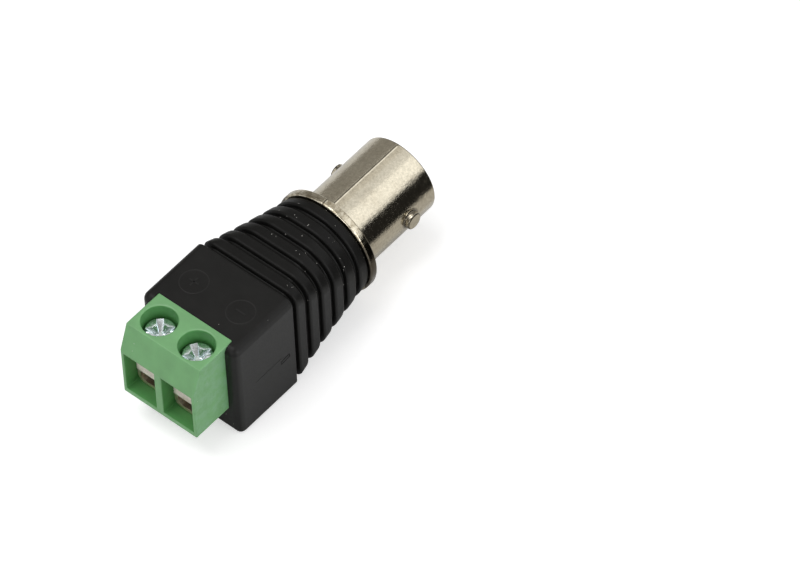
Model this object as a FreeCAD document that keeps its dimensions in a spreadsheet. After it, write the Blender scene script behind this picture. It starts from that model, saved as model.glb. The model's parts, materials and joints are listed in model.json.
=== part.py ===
import FreeCAD, Part
import math
import os
import Sketcher

# A cable-less adapter: a bayonet radio-frequency socket at one end, a two-pole screw terminal
# at the other, joined inside a black moulded boot. It lies on the flat underside of the boot.
# X runs across the two wire entries, Y from the entries to the socket's mouth, Z upwards.
# The socket's axis is the main datum: everything is placed from it and from the end faces.

document = FreeCAD.newDocument("screw_terminal_adapter")
Vector = FreeCAD.Vector

RIBS = 6
POLES = {"plus": -1, "minus": 1}

# Rough places where sketch geometry starts, before its constraints take their expressions
START_REACH = 6.0
START_RADIUS = 1.5

# Driving dimensions, in millimetres: alias, value, meaning
DRIVING = (
    ("pitch", 5.08, "between the two wire entries"),
    ("axis_height", 6.45, "socket axis above the surface it lies on"),
    ("housing_width", 10.02, "terminal housing across both poles"),
    ("housing_depth", 6.27, "housing front face to its rear face"),
    ("housing_height", 9.96, "housing underside to its top face"),
    ("housing_lift", 3.63, "surface to the housing underside"),
    ("housing_reach", 4.98, "housing front face ahead of the boot"),
    ("crease_height", 6.79, "housing underside to the foot of the slanted face"),
    ("slope_setback", 1.21, "slanted face, top edge behind the front face"),
    ("housing_edge", 0.15, "rounding of the housing's outer edges"),
    ("entry_width", 4.16, "wire entry, clear width"),
    ("entry_height", 5.74, "wire entry, clear height"),
    ("entry_floor", 0.54, "thickness of the housing floor"),
    ("rear_wall", 0.63, "housing wall behind the cages"),
    ("well_diameter", 3.90, "screw well"),
    ("well_chamfer", 0.12, "chamfer at the mouth of the well"),
    ("shoulder", 0.40, "ledge between well and cage chamber"),
    ("neck_diameter", 2.70, "screw hole through the ledge"),
    ("head_diameter", 3.30, "clamp screw head"),
    ("head_height", 1.64, "clamp screw head"),
    ("head_slot_width", 0.55, "driver slot and cross recess"),
    ("head_slot_depth", 0.60, "driver slot and cross recess"),
    ("shank_diameter", 2.40, "clamp screw thread, outside"),
    ("tongue_sheet", 0.50, "thickness of the current bar"),
    ("bend_radius", 0.45, "outside of the current bar's bend"),
    ("tongue_width", 2.70, "current bar and its front leg"),
    ("tongue_height", 2.63, "underside of the bar above the entry floor"),
    ("leg_setback", 1.00, "front leg behind the housing front face"),
    ("tail_width", 1.60, "solder tail of the current bar"),
    ("tail_length", 2.20, "solder tail behind the housing"),
    ("cage_width", 3.80, "cage, outside"),
    ("cage_gap", 0.15, "cage to the bar's leg in front and to the wall behind"),
    ("cage_side", 0.40, "cage side wall"),
    ("cage_floor", 0.45, "cage floor under the wire"),
    ("cage_top", 0.70, "threaded top wall of the cage"),
    ("cage_lift", 0.13, "open cage above the entry floor"),
    ("cage_corner", 1.00, "outer radius of the cage's lower corners"),
    ("running_gap", 0.05, "clearance of moving fits"),
    ("seat_gap", 0.02, "clearance of seated fits"),
    ("block_half_width", 6.44, "boot block, half its width"),
    ("block_top", 7.12, "boot block top above the socket axis"),
    ("block_length", 9.00, "boot front face to the first groove"),
    ("block_top_round", 0.90, "long upper edges of the block"),
    ("block_foot_round", 0.55, "long lower edges of the block"),
    ("cheek_round", 0.90, "upright front corners of the boot"),
    ("rib_pitch", 2.027, "from rib to rib"),
    ("groove_width", 0.62, "groove between two ribs"),
    ("groove_depth", 0.62, "groove below the rib crests"),
    ("rib_bevel", 0.28, "bevel of the rib edges"),
    ("collar_radius", 6.05, "last rib, against the flange"),
    ("flange_diameter", 12.76, "socket flange"),
    ("flange_thickness", 0.98, "socket flange"),
    ("flange_round", 0.20, "edges of the flange"),
    ("barrel_diameter", 9.60, "socket barrel, outside"),
    ("barrel_length", 11.25, "flange front to the mouth"),
    ("barrel_bore", 8.12, "socket barrel, inside"),
    ("bore_depth", 8.40, "mouth to the reference plane"),
    ("root_step", 0.30, "raised ring at the foot of the barrel"),
    ("lug_diameter", 2.00, "bayonet lug"),
    ("lug_span", 10.90, "over both bayonet lugs"),
    ("lug_setback", 4.10, "lug axis behind the mouth"),
    ("lug_round", 0.15, "edge of the lug"),
    ("lug_fillet", 0.28, "foot of the lug"),
    ("seam_height", 0.05, "mould seam above the casting's surface"),
    ("seam_width", 0.24, "mould seam"),
    ("spigot_diameter", 8.80, "shell behind the flange, inside the boot"),
    ("spigot_length", 3.00, "shell behind the flange, inside the boot"),
    ("shell_tail_diameter", 6.60, "rear tail of the shell"),
    ("shell_tail_length", 3.00, "rear tail of the shell"),
    ("bush_diameter", 5.60, "insulator inside the shell"),
    ("bush_front", 1.00, "shell web ahead of the insulator's shoulder"),
    ("nose_diameter", 4.80, "insulator nose"),
    ("nose_length", 5.00, "insulator nose ahead of the reference plane"),
    ("nose_bore", 2.60, "hollow of the nose around the contact fingers"),
    ("contact_diameter", 2.10, "centre contact, outside"),
    ("contact_bore", 1.35, "centre contact, pin bore"),
    ("contact_depth", 5.20, "centre contact, depth of the pin bore"),
    ("contact_recess", 0.40, "contact tip behind the nose"),
    ("contact_slot", 0.25, "slots between the contact fingers"),
    ("finger_length", 4.00, "length of the contact fingers"),
    ("cup_diameter", 1.90, "solder cup of the contact"),
    ("cup_length", 2.20, "solder cup of the contact"),
    ("tag_sheet", 0.40, "thickness of the earth tag"),
    ("tag_diameter", 8.60, "earth tag ring"),
    ("tab_width", 1.60, "solder tab of the earth tag"),
    ("tab_length", 4.50, "solder tab of the earth tag"),
    ("core_diameter", 0.90, "conductor of the inner leads"),
    ("lead_diameter", 1.70, "inner leads over their insulation"),
    ("stripped_end", 1.60, "bare end of an inner lead"),
    ("solder_length", 1.50, "soldered joint, along the lead"),
)

sheet = document.addObject("Spreadsheet::Sheet", "Sizes")
for row, (alias, value, meaning) in enumerate(DRIVING, 1):
    sheet.set(f"A{row}", meaning)
    sheet.set(f"B{row}", str(value))
    sheet.setAlias(f"B{row}", alias)
document.recompute()


def size(alias):
    """A driving dimension as a number."""
    return float(sheet.get(alias))


# Stations along Y and heights along Z, as expressions for the document. The screw axis and the
# cage lie midway between the current bar's leg and the housing's rear wall.
LENGTH = (f"(Sizes.housing_reach + Sizes.block_length + {RIBS} * Sizes.rib_pitch"
          " + Sizes.flange_thickness + Sizes.barrel_length)")
FRONT_Y = f"(-{LENGTH} / 2)"
BOOT_Y = f"({FRONT_Y} + Sizes.housing_reach)"
FLANGE_Y = f"({BOOT_Y} + Sizes.block_length + {RIBS} * Sizes.rib_pitch)"
SETBACK = ("((Sizes.leg_setback + Sizes.tongue_sheet + Sizes.housing_depth"
           " - Sizes.rear_wall) / 2)")
CAGE_DEPTH = f"(2 * ({SETBACK} - Sizes.leg_setback - Sizes.tongue_sheet - Sizes.cage_gap))"
SCREW_Y = f"({FRONT_Y} + {SETBACK})"
ENTRY_Z = "(Sizes.housing_lift + Sizes.entry_floor)"
HEAD_Z = "(Sizes.entry_height + Sizes.shoulder + Sizes.running_gap)"
BAR_TOP = "(Sizes.tongue_height + Sizes.tongue_sheet)"
HALF_PITCH = "Sizes.pitch / 2"
SOCKET_REAR = "(-(Sizes.spigot_length + Sizes.shell_tail_length))"
MOUTH = "(Sizes.flange_thickness + Sizes.barrel_length)"
REFERENCE = f"({MOUTH} - Sizes.bore_depth)"
BUSH_SHOULDER = f"({REFERENCE} - Sizes.bush_front)"
NOSE_TIP = f"({REFERENCE} + Sizes.nose_length)"
CONTACT_TIP = f"({NOSE_TIP} - Sizes.contact_recess)"
CUP_MOUTH = f"({SOCKET_REAR} - Sizes.cup_length)"


def new_body(label, x="0", y="0", z="0"):
    """A body placed at a station that is worked out from the driving dimensions."""
    body = document.addObject("PartDesign::Body", label)
    body.Label = label
    for coordinate, expression in zip("xyz", (x, y, z)):
        body.setExpression(f"Placement.Base.{coordinate}", expression)
    return body


def new_sketch(body, name, role, offset="0"):
    """A sketch on one of the body's own origin planes, moved along the plane's normal."""
    sketch = body.newObject("Sketcher::SketchObject", name)
    plane = [item for item in body.Origin.OriginFeatures if item.Role == role][0]
    sketch.AttachmentSupport = [(plane, "")]
    sketch.MapMode = "FlatFace"
    sketch.setExpression("AttachmentOffset.Base.z", offset)
    return sketch


def pin_point(sketch, geometry, end, across, up):
    """Ties one point of a sketch to two expressions, measured from the sketch's origin."""
    point = sketch.getPoint(geometry, end)
    for axis, line, expression, start in (("X", -2, across, point.x), ("Y", -1, up, point.y)):
        if expression == "0":
            sketch.addConstraint(Sketcher.Constraint("PointOnObject", geometry, end, line))
            continue
        index = sketch.addConstraint(
            Sketcher.Constraint(f"Distance{axis}", -1, 1, geometry, end, start))
        name = f"{axis.lower()}_{geometry}_{end}"
        sketch.renameConstraint(index, name)
        sketch.setExpression(f"Constraints.{name}", expression)


def outline(sketch, corners):
    """A closed straight-sided outline, each corner a pair of expressions."""
    count = len(corners)
    turns = [2 * math.pi * n / count for n in range(count)]
    ring = [Vector(START_REACH * math.cos(turn), START_REACH * math.sin(turn), 0)
            for turn in turns]
    for n in range(count):
        sketch.addGeometry(Part.LineSegment(ring[n], ring[(n + 1) % count]), False)
    for n in range(count):
        sketch.addConstraint(Sketcher.Constraint("Coincident", n, 2, (n + 1) % count, 1))
    for n, (across, up) in enumerate(corners):
        pin_point(sketch, n, 1, across, up)


def rectangle(sketch, left, right, low, high):
    """A rectangle between four expressions."""
    outline(sketch, [(left, low), (right, low), (right, high), (left, high)])


def circle(sketch, across, up, diameter):
    """A circle with its centre and diameter given as expressions."""
    start = Part.Circle(Vector(1, 1, 0), Vector(0, 0, 1), START_RADIUS)
    geometry = sketch.addGeometry(start, False)
    pin_point(sketch, geometry, 3, across, up)
    index = sketch.addConstraint(Sketcher.Constraint("Diameter", geometry, 2 * START_RADIUS))
    sketch.renameConstraint(index, f"diameter_{geometry}")
    sketch.setExpression(f"Constraints.diameter_{geometry}", diameter)


def rounded(sketch, half, top, foot, top_round, foot_round):
    """A rectangle about the upright axis with rounded upper and lower corners."""
    reach = START_REACH
    radius = START_RADIUS
    flat = reach - radius
    corners = ((flat, flat), (-flat, flat), (-flat, -flat), (flat, -flat))
    sides = ((reach, -flat, reach, flat), (flat, reach, -flat, reach),
             (-reach, flat, -reach, -flat), (-flat, -reach, flat, -reach))
    for turn, (side, corner) in enumerate(zip(sides, corners)):
        sketch.addGeometry(Part.LineSegment(Vector(*side[:2], 0), Vector(*side[2:], 0)), False)
        arc = Part.Circle(Vector(*corner, 0), Vector(0, 0, 1), radius)
        start = turn * math.pi / 2
        sketch.addGeometry(Part.ArcOfCircle(arc, start, start + math.pi / 2), False)
    for n in range(8):
        sketch.addConstraint(Sketcher.Constraint("Tangent", n, 2, (n + 1) % 8, 1))
    for n, direction in ((0, "Vertical"), (2, "Horizontal"), (4, "Vertical"), (6, "Horizontal")):
        sketch.addConstraint(Sketcher.Constraint(direction, n))
    sketch.addConstraint(Sketcher.Constraint("Equal", 1, 3))
    sketch.addConstraint(Sketcher.Constraint("Equal", 5, 7))
    driven = (
        ("right", Sketcher.Constraint("DistanceX", -1, 1, 0, 1, reach), half),
        ("left", Sketcher.Constraint("DistanceX", -1, 1, 4, 1, -reach), f"-({half})"),
        ("top", Sketcher.Constraint("DistanceY", -1, 1, 2, 1, reach), top),
        ("foot", Sketcher.Constraint("DistanceY", -1, 1, 6, 1, -reach), foot),
        ("top_round", Sketcher.Constraint("Radius", 1, radius), top_round),
        ("foot_round", Sketcher.Constraint("Radius", 5, radius), foot_round),
    )
    for name, constraint, expression in driven:
        sketch.renameConstraint(sketch.addConstraint(constraint), name)
        sketch.setExpression(f"Constraints.{name}", expression)


def feature(body, kind, name, sketch, **lengths):
    """A sketch-based feature whose lengths are expressions and whose switches are values."""
    made = body.newObject(f"PartDesign::{kind}", name)
    made.Profile = sketch
    for key, value in lengths.items():
        if isinstance(value, str) and key != "Type":
            made.setExpression(key, value)
        else:
            setattr(made, key, value)
    document.recompute()
    return made


def turned(body, kind, name, sketch):
    """A full turn of a profile about the socket's axis."""
    made = body.newObject(f"PartDesign::{kind}", name)
    made.Profile = sketch
    made.ReferenceAxis = (sketch, ["H_Axis"])
    made.Angle = 360
    document.recompute()
    return made


def edges_where(base, test):
    """Names of the edges of a feature that pass a test on their bounding box."""
    return [f"Edge{n}" for n, edge in enumerate(base.Shape.Edges, 1)
            if test(edge.optimalBoundingBox(False, False))]


def dress(body, kind, name, base, test, expression):
    """A fillet or chamfer on the edges that pass a test."""
    made = body.newObject(f"PartDesign::{kind}", name)
    made.Base = (base, edges_where(base, test))
    made.setExpression("Radius" if kind == "Fillet" else "Size", expression)
    document.recompute()
    return made


def near(value, target):
    """True where two lengths are the same."""
    return abs(value - target) < 1e-4


def level(low, high, target):
    """True where both ends of a span lie at one place."""
    return near(low, target) and near(high, target)


# Terminal side


def make_housing():
    """The moulded housing: slanted front, two entries, two counterbored screw wells."""
    body = new_body("terminal_housing", "0", FRONT_Y, "Sizes.housing_lift")
    side = new_sketch(body, "housing_side", "YZ_Plane")
    outline(side, [
        ("0", "0"),
        ("Sizes.housing_depth", "0"),
        ("Sizes.housing_depth", "Sizes.housing_height"),
        ("Sizes.slope_setback", "Sizes.housing_height"),
        ("0", "Sizes.crease_height")])
    block = feature(body, "Pad", "housing_block", side, Length="Sizes.housing_width", Midplane=True)
    half = size("housing_width") / 2
    dress(body, "Fillet", "housing_edges", block,
          lambda box: level(abs(box.XMin), abs(box.XMax), half) and near(box.XMin, box.XMax),
          "Sizes.housing_edge")
    chamber_top = "Sizes.entry_floor + Sizes.entry_height"
    bar = "Sizes.entry_floor + Sizes.tongue_height"
    for pole, hand in POLES.items():
        centre = f"({hand} * {HALF_PITCH})"
        entry = new_sketch(body, f"entry_{pole}", "XZ_Plane")
        rectangle(entry, f"{centre} - Sizes.entry_width / 2", f"{centre} + Sizes.entry_width / 2",
                  "Sizes.entry_floor", chamber_top)
        feature(body, "Pocket", f"chamber_{pole}", entry,
                Length="Sizes.housing_depth - Sizes.rear_wall")
        slot = new_sketch(body, f"tongue_slot_{pole}", "XZ_Plane")
        reach = "(Sizes.tongue_width / 2 + Sizes.seat_gap)"
        rectangle(slot, f"{centre} - {reach}", f"{centre} + {reach}",
                  f"{bar} - Sizes.seat_gap", f"{bar} + Sizes.tongue_sheet + Sizes.seat_gap")
        feature(body, "Pocket", f"tongue_opening_{pole}", slot, Type="ThroughAll")
        mouth = new_sketch(body, f"well_{pole}", "XY_Plane", "Sizes.housing_height")
        circle(mouth, centre, SETBACK, "Sizes.well_diameter")
        feature(body, "Pocket", f"well_bore_{pole}", mouth,
                Length=f"Sizes.housing_height - ({chamber_top}) - Sizes.shoulder")
        neck = new_sketch(body, f"neck_{pole}", "XY_Plane", "Sizes.housing_height")
        circle(neck, centre, SETBACK, "Sizes.neck_diameter")
        last = feature(body, "Pocket", f"neck_bore_{pole}", neck,
                       Length=f"Sizes.housing_height - ({chamber_top}) + Sizes.shoulder")
    wide = size("well_diameter")
    high = size("housing_height")
    dress(body, "Chamfer", "well_mouths", last,
          lambda box: level(box.ZMin, box.ZMax, high) and near(box.XLength, wide),
          "Sizes.well_chamfer")
    return body


def pole_body(label, hand):
    """A body on a pole's screw axis, its height counted from the entry floor."""
    return new_body(label, f"{hand} * {HALF_PITCH}", SCREW_Y, ENTRY_Z)


def make_screw(pole, hand):
    """A clamp screw: plain shank, round head, driver slot crossed by a shorter recess."""
    body = pole_body(f"screw_{pole}", hand)
    body.Placement.Rotation = FreeCAD.Rotation(Vector(0, 0, 1), 45 + 12 * hand)
    shank = new_sketch(body, f"shank_{pole}", "XY_Plane", f"{BAR_TOP} + Sizes.running_gap")
    circle(shank, "0", "0", "Sizes.shank_diameter")
    feature(body, "Pad", f"shank_pad_{pole}", shank,
            Length=f"{HEAD_Z} - {BAR_TOP} - Sizes.running_gap")
    head = new_sketch(body, f"head_{pole}", "XY_Plane", HEAD_Z)
    circle(head, "0", "0", "Sizes.head_diameter")
    disc = feature(body, "Pad", f"head_pad_{pole}", head, Length="Sizes.head_height")
    top = disc.Shape.BoundBox.ZMax
    dress(body, "Chamfer", f"head_rim_{pole}", disc,
          lambda box: level(box.ZMin, box.ZMax, top), "Sizes.head_height / 6")
    half_slot = "Sizes.head_slot_width / 2"
    for name, half_length in (("slot", "Sizes.head_diameter"), ("cross", "Sizes.head_diameter / 3")):
        across = (f"-({half_slot})", half_slot, f"-({half_length})", half_length)
        along = (f"-({half_length})", half_length, f"-({half_slot})", half_slot)
        recess = new_sketch(body, f"{name}_{pole}", "XY_Plane", f"{HEAD_Z} + Sizes.head_height")
        rectangle(recess, *(across if name == "slot" else along))
        feature(body, "Pocket", f"{name}_cut_{pole}", recess, Length="Sizes.head_slot_depth")
    return body


def make_cage(pole, hand):
    """A clamp cage: round-bottomed sleeve round the wire with a thick top for the screw."""
    body = pole_body(f"cage_{pole}", hand)
    inner_top = f"({BAR_TOP} + Sizes.running_gap)"
    top = f"({inner_top} + Sizes.cage_top)"
    outside = new_sketch(body, f"cage_outside_{pole}", "XZ_Plane")
    rounded(outside, "Sizes.cage_width / 2", top, "Sizes.cage_lift",
            "Sizes.cage_side / 2", "Sizes.cage_corner")
    feature(body, "Pad", f"cage_sleeve_{pole}", outside, Length=CAGE_DEPTH, Midplane=True)
    inside = new_sketch(body, f"cage_inside_{pole}", "XZ_Plane")
    rounded(inside, "Sizes.cage_width / 2 - Sizes.cage_side", inner_top,
            "Sizes.cage_lift + Sizes.cage_floor", "Sizes.cage_side / 4",
            "Sizes.cage_corner - Sizes.cage_side")
    feature(body, "Pocket", f"cage_window_{pole}", inside,
            Length=f"2 * {CAGE_DEPTH}", Midplane=True)
    hole = new_sketch(body, f"cage_hole_{pole}", "XY_Plane", top)
    circle(hole, "0", "0", "Sizes.shank_diameter + 2 * Sizes.running_gap")
    feature(body, "Pocket", f"cage_bore_{pole}", hole, Length="1.2 * Sizes.cage_top")
    return body


def make_tongue(pole, hand):
    """A current bar: upright front leg, bar through the cage, solder tail behind the housing."""
    body = pole_body(f"tongue_{pole}", hand)
    leg = f"(Sizes.leg_setback - {SETBACK})"
    rear = f"(Sizes.housing_depth - {SETBACK})"
    stretches = (
        ("leg", leg, f"{leg} + Sizes.tongue_sheet", "Sizes.entry_height - Sizes.running_gap",
         "Sizes.tongue_width"),
        ("bar", leg, rear, BAR_TOP, "Sizes.tongue_width"),
        ("tail", leg, f"{rear} + Sizes.tail_length", BAR_TOP, "Sizes.tail_width"),
    )
    for name, front, back, top, width in stretches:
        side = new_sketch(body, f"{name}_{pole}", "YZ_Plane")
        rectangle(side, front, back, "Sizes.tongue_height", top)
        last = feature(body, "Pad", f"{name}_pad_{pole}", side, Length=width, Midplane=True)
    front = last.Shape.BoundBox.YMin
    foot = size("tongue_height")
    dress(body, "Fillet", f"bend_{pole}", last,
          lambda box: level(box.YMin, box.YMax, front) and level(box.ZMin, box.ZMax, foot),
          "Sizes.bend_radius")
    return body


# Socket side, each body's origin where the socket axis meets the rear of the flange


def socket_body(label):
    """A body on the socket's axis."""
    return new_body(label, "0", FLANGE_Y, "Sizes.axis_height")


def make_shell():
    """The cast socket shell: flange, barrel, bayonet lugs, mould seam, stepped bore."""
    body = socket_body("bnc_shell")
    barrel = "Sizes.barrel_diameter / 2"
    flange = "Sizes.flange_diameter / 2"
    spigot = "Sizes.spigot_diameter / 2"
    tail = "Sizes.shell_tail_diameter / 2"
    outer = new_sketch(body, "shell_outside", "YZ_Plane")
    outline(outer, [
        (SOCKET_REAR, "0"),
        (MOUTH, "0"),
        (MOUTH, barrel),
        ("Sizes.flange_thickness + Sizes.root_step", barrel),
        ("Sizes.flange_thickness + Sizes.root_step", f"{barrel} + Sizes.root_step"),
        ("Sizes.flange_thickness", f"{barrel} + Sizes.root_step"),
        ("Sizes.flange_thickness", flange),
        ("0", flange),
        ("0", spigot),
        ("-Sizes.spigot_length", spigot),
        ("-Sizes.spigot_length", tail),
        (SOCKET_REAR, tail)])
    casting = turned(body, "Revolution", "shell_casting", outer)
    wide = size("flange_diameter")
    rim = dress(body, "Chamfer", "flange_edges", casting,
                lambda box: near(box.YMin, box.YMax) and near(box.ZLength, wide),
                "Sizes.flange_round")
    lugs = new_sketch(body, "lug_section", "YZ_Plane")
    circle(lugs, f"{MOUTH} - Sizes.lug_setback", "0", "Sizes.lug_diameter")
    pair = feature(body, "Pad", "lugs", lugs, Length="Sizes.lug_span", Midplane=True)
    span = size("lug_span") / 2
    ends = dress(body, "Chamfer", "lug_ends", pair,
                 lambda box: near(box.XMin, box.XMax) and near(abs(box.XMin), span),
                 "Sizes.lug_round")
    across = size("lug_diameter")
    skin = size("barrel_diameter") / 2
    dress(body, "Chamfer", "lug_feet", ends,
          lambda box: near(box.YLength, across) and abs(box.XMax) < skin + 1e-3
          and abs(box.XMin) < skin + 1e-3 and box.XLength < 1.0,
          "Sizes.lug_fillet")
    seam = new_sketch(body, "seam_section", "YZ_Plane")
    ridge = f"({barrel} + Sizes.seam_height)"
    rim_ridge = f"({flange} + Sizes.seam_height)"
    inset = "Sizes.flange_round"
    outline(seam, [
        (inset, rim_ridge),
        (f"Sizes.flange_thickness - {inset}", rim_ridge),
        (f"Sizes.flange_thickness - {inset}", ridge),
        (f"{MOUTH} - 2 * {inset}", ridge),
        (f"{MOUTH} - 2 * {inset}", f"-{ridge}"),
        (f"Sizes.flange_thickness - {inset}", f"-{ridge}"),
        (f"Sizes.flange_thickness - {inset}", f"-{rim_ridge}"),
        (inset, f"-{rim_ridge}")])
    feature(body, "Pad", "mould_seam", seam, Length="Sizes.seam_width", Midplane=True)
    bush = "Sizes.bush_diameter / 2"
    nose = "(Sizes.nose_diameter / 2 + Sizes.seat_gap)"
    bore = "Sizes.barrel_bore / 2"
    inner = new_sketch(body, "shell_inside", "YZ_Plane")
    outline(inner, [
        (f"{SOCKET_REAR} - 1", "0"),
        (f"{SOCKET_REAR} - 1", bush),
        (BUSH_SHOULDER, bush),
        (BUSH_SHOULDER, nose),
        (REFERENCE, nose),
        (REFERENCE, bore),
        (f"{MOUTH} + 1", bore),
        (f"{MOUTH} + 1", "0")])
    cut = turned(body, "Groove", "shell_bore", inner)
    mouth = cut.Shape.BoundBox.YMax
    dress(body, "Chamfer", "mouth_lip", cut,
          lambda box: level(box.YMin, box.YMax, mouth), "Sizes.flange_round")
    return body


def make_insulator():
    """The white bush that carries the contact, with its hollow nose."""
    body = socket_body("insulator")
    hub = "(Sizes.contact_diameter / 2 + Sizes.seat_gap)"
    bush = "(Sizes.bush_diameter / 2 - Sizes.seat_gap)"
    nose = "Sizes.nose_diameter / 2"
    hollow = f"({CONTACT_TIP} - Sizes.finger_length)"
    section = new_sketch(body, "insulator_section", "YZ_Plane")
    outline(section, [
        (SOCKET_REAR, hub),
        (SOCKET_REAR, bush),
        (BUSH_SHOULDER, bush),
        (BUSH_SHOULDER, nose),
        (NOSE_TIP, nose),
        (NOSE_TIP, "Sizes.nose_bore / 2"),
        (hollow, "Sizes.nose_bore / 2"),
        (hollow, hub)])
    made = turned(body, "Revolution", "insulator_turned", section)
    tip = made.Shape.BoundBox.YMax
    dress(body, "Chamfer", "nose_edge", made,
          lambda box: level(box.YMin, box.YMax, tip), "Sizes.seat_gap * 8")
    return body


def make_contact():
    """The centre contact: pin bore with two slots at the front, solder cup at the rear."""
    body = socket_body("centre_contact")
    outside = "Sizes.contact_diameter / 2"
    bore = "Sizes.contact_bore / 2"
    cup_bore = "(Sizes.core_diameter / 2 + Sizes.seat_gap)"
    cup_foot = f"({CUP_MOUTH} + Sizes.stripped_end)"
    section = new_sketch(body, "contact_section", "YZ_Plane")
    outline(section, [
        (CUP_MOUTH, cup_bore),
        (CUP_MOUTH, "Sizes.cup_diameter / 2"),
        (SOCKET_REAR, "Sizes.cup_diameter / 2"),
        (SOCKET_REAR, outside),
        (CONTACT_TIP, outside),
        (CONTACT_TIP, bore),
        (f"{CONTACT_TIP} - Sizes.contact_depth", bore),
        (f"{CONTACT_TIP} - Sizes.contact_depth", "0"),
        (cup_foot, "0"),
        (cup_foot, cup_bore)])
    turned(body, "Revolution", "contact_turned", section)
    slot = new_sketch(body, "finger_slot", "YZ_Plane")
    rectangle(slot, f"{CONTACT_TIP} - Sizes.finger_length", f"{CONTACT_TIP} + 1",
              "-Sizes.contact_slot / 2", "Sizes.contact_slot / 2")
    feature(body, "Pocket", "finger_slots", slot,
            Length="2 * Sizes.contact_diameter", Midplane=True)
    return body


def make_earth_tag():
    """The stamped ring on the shell's tail, with its solder tab bent back along the lead."""
    body = socket_body("earth_tag")
    ring = new_sketch(body, "tag_ring", "XZ_Plane", "Sizes.spigot_length")
    circle(ring, "0", "0", "Sizes.tag_diameter")
    circle(ring, "0", "0", "Sizes.shell_tail_diameter")
    feature(body, "Pad", "tag_washer", ring, Length="Sizes.tag_sheet")
    tab = new_sketch(body, "tag_tab", "XZ_Plane", "Sizes.spigot_length")
    rectangle(tab, "Sizes.tag_diameter / 2 - Sizes.tag_sheet", "Sizes.tag_diameter / 2",
              "-Sizes.tab_width / 2", "Sizes.tab_width / 2")
    feature(body, "Pad", "tag_strip", tab, Length="Sizes.tab_length + Sizes.tag_sheet")
    return body


# Inner leads, each one a straight bare end, a slanted run and another straight bare end.
# The insulation covers the stretch of the slanted run between these two fractions of it.
SLEEVE_SPAN = (0.1, 0.9)
TAIL_Z = f"({ENTRY_Z} + {BAR_TOP} + Sizes.core_diameter / 2 + Sizes.running_gap)"
LEAD_START = f"({FRONT_Y} + Sizes.housing_depth + Sizes.tail_length)"
LEADS = {
    "signal": (f"({POLES['plus']} * {HALF_PITCH})", "0",
               f"({FLANGE_Y} + {CUP_MOUTH} - Sizes.solder_length / 2)",
               "(Sizes.stripped_end + Sizes.solder_length / 2)"),
    "earth": (f"({POLES['minus']} * {HALF_PITCH})",
              "((Sizes.tag_diameter - Sizes.core_diameter) / 2 - Sizes.tag_sheet - Sizes.running_gap)",
              f"({FLANGE_Y} - Sizes.spigot_length - Sizes.tag_sheet - Sizes.tab_length)",
              "Sizes.stripped_end"),
}


def lead_body(label, lead):
    """A body at the front bend of a lead, tilted so that the whole lead lies in its XY plane."""
    start_x, end_x = LEADS[lead][:2]
    body = new_body(label, start_x, LEAD_START, TAIL_Z)
    body.Placement.Rotation = FreeCAD.Rotation(Vector(0, 1, 0), 1)
    tilt = f"atan2({TAIL_Z} - Sizes.axis_height; {end_x} - {start_x})"
    body.setExpression("Placement.Rotation.Angle", tilt)
    return body


def lead_path(body, name, lead, bare_ends):
    """The centre line in the body's XY plane: the whole lead, or the stretch with insulation."""
    start_x, end_x, rear_y, bare = LEADS[lead]
    shift = f"sqrt(({end_x} - {start_x}) ^ 2 + ({TAIL_Z} - Sizes.axis_height) ^ 2)"
    run = f"({rear_y} - {LEAD_START})"
    if bare_ends:
        corners = [("0", "-Sizes.stripped_end"), ("0", "0"), (shift, run),
                   (shift, f"{run} + {bare}")]
    else:
        corners = [(f"{share} * {shift}", f"{share} * {run}") for share in SLEEVE_SPAN]
    path = new_sketch(body, name, "XY_Plane")
    for n in range(len(corners) - 1):
        start = Vector(n, n * START_REACH, 0)
        end = Vector(n + 1, (n + 1) * START_REACH, 0)
        path.addGeometry(Part.LineSegment(start, end), False)
        if n:
            path.addConstraint(Sketcher.Constraint("Coincident", n - 1, 2, n, 1))
        pin_point(path, n, 1, *corners[n])
    pin_point(path, len(corners) - 2, 2, *corners[-1])
    return path


def pipe(body, name, section, path, edges):
    """A section swept along a path of so many edges, with mitred corners."""
    document.recompute()
    made = body.newObject("PartDesign::AdditivePipe", name)
    made.Profile = section
    made.Spine = (path, [f"Edge{n}" for n in range(1, edges + 1)])
    made.Transition = "Right corner"
    document.recompute()
    return made


def make_core(lead):
    """The bare conductor of a lead, from one joint to the other."""
    body = lead_body(f"{lead}_core", lead)
    path = lead_path(body, f"{lead}_run", lead, True)
    section = new_sketch(body, f"{lead}_wire", "XZ_Plane", "Sizes.stripped_end")
    circle(section, "0", "0", "Sizes.core_diameter")
    pipe(body, f"{lead}_conductor", section, path, 3)
    return body


def make_insulation(lead):
    """The insulation of a lead, over the slanted run and clear of its bends."""
    body = lead_body(f"{lead}_insulation", lead)
    path = lead_path(body, f"{lead}_slant", lead, False)
    section = body.newObject("Sketcher::SketchObject", f"{lead}_sleeve")
    document.recompute()
    section.AttachmentSupport = [(path, "Edge1")]
    section.MapMode = "NormalToEdge"
    circle(section, "0", "0", "Sizes.lead_diameter")
    circle(section, "0", "0", "Sizes.core_diameter + 2 * Sizes.seat_gap")
    pipe(body, f"{lead}_cover", section, path, 1)
    return body


def cut_from(label, base, neighbours):
    """A piece with the room of its neighbours taken out of it, one after the other."""
    document.recompute()
    for neighbour in neighbours:
        piece = document.addObject("Part::Cut", f"{label}_less_{neighbour.Name}")
        piece.Base = base
        piece.Tool = neighbour
        document.recompute()
        base = piece
    piece.Label = label
    return piece


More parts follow.
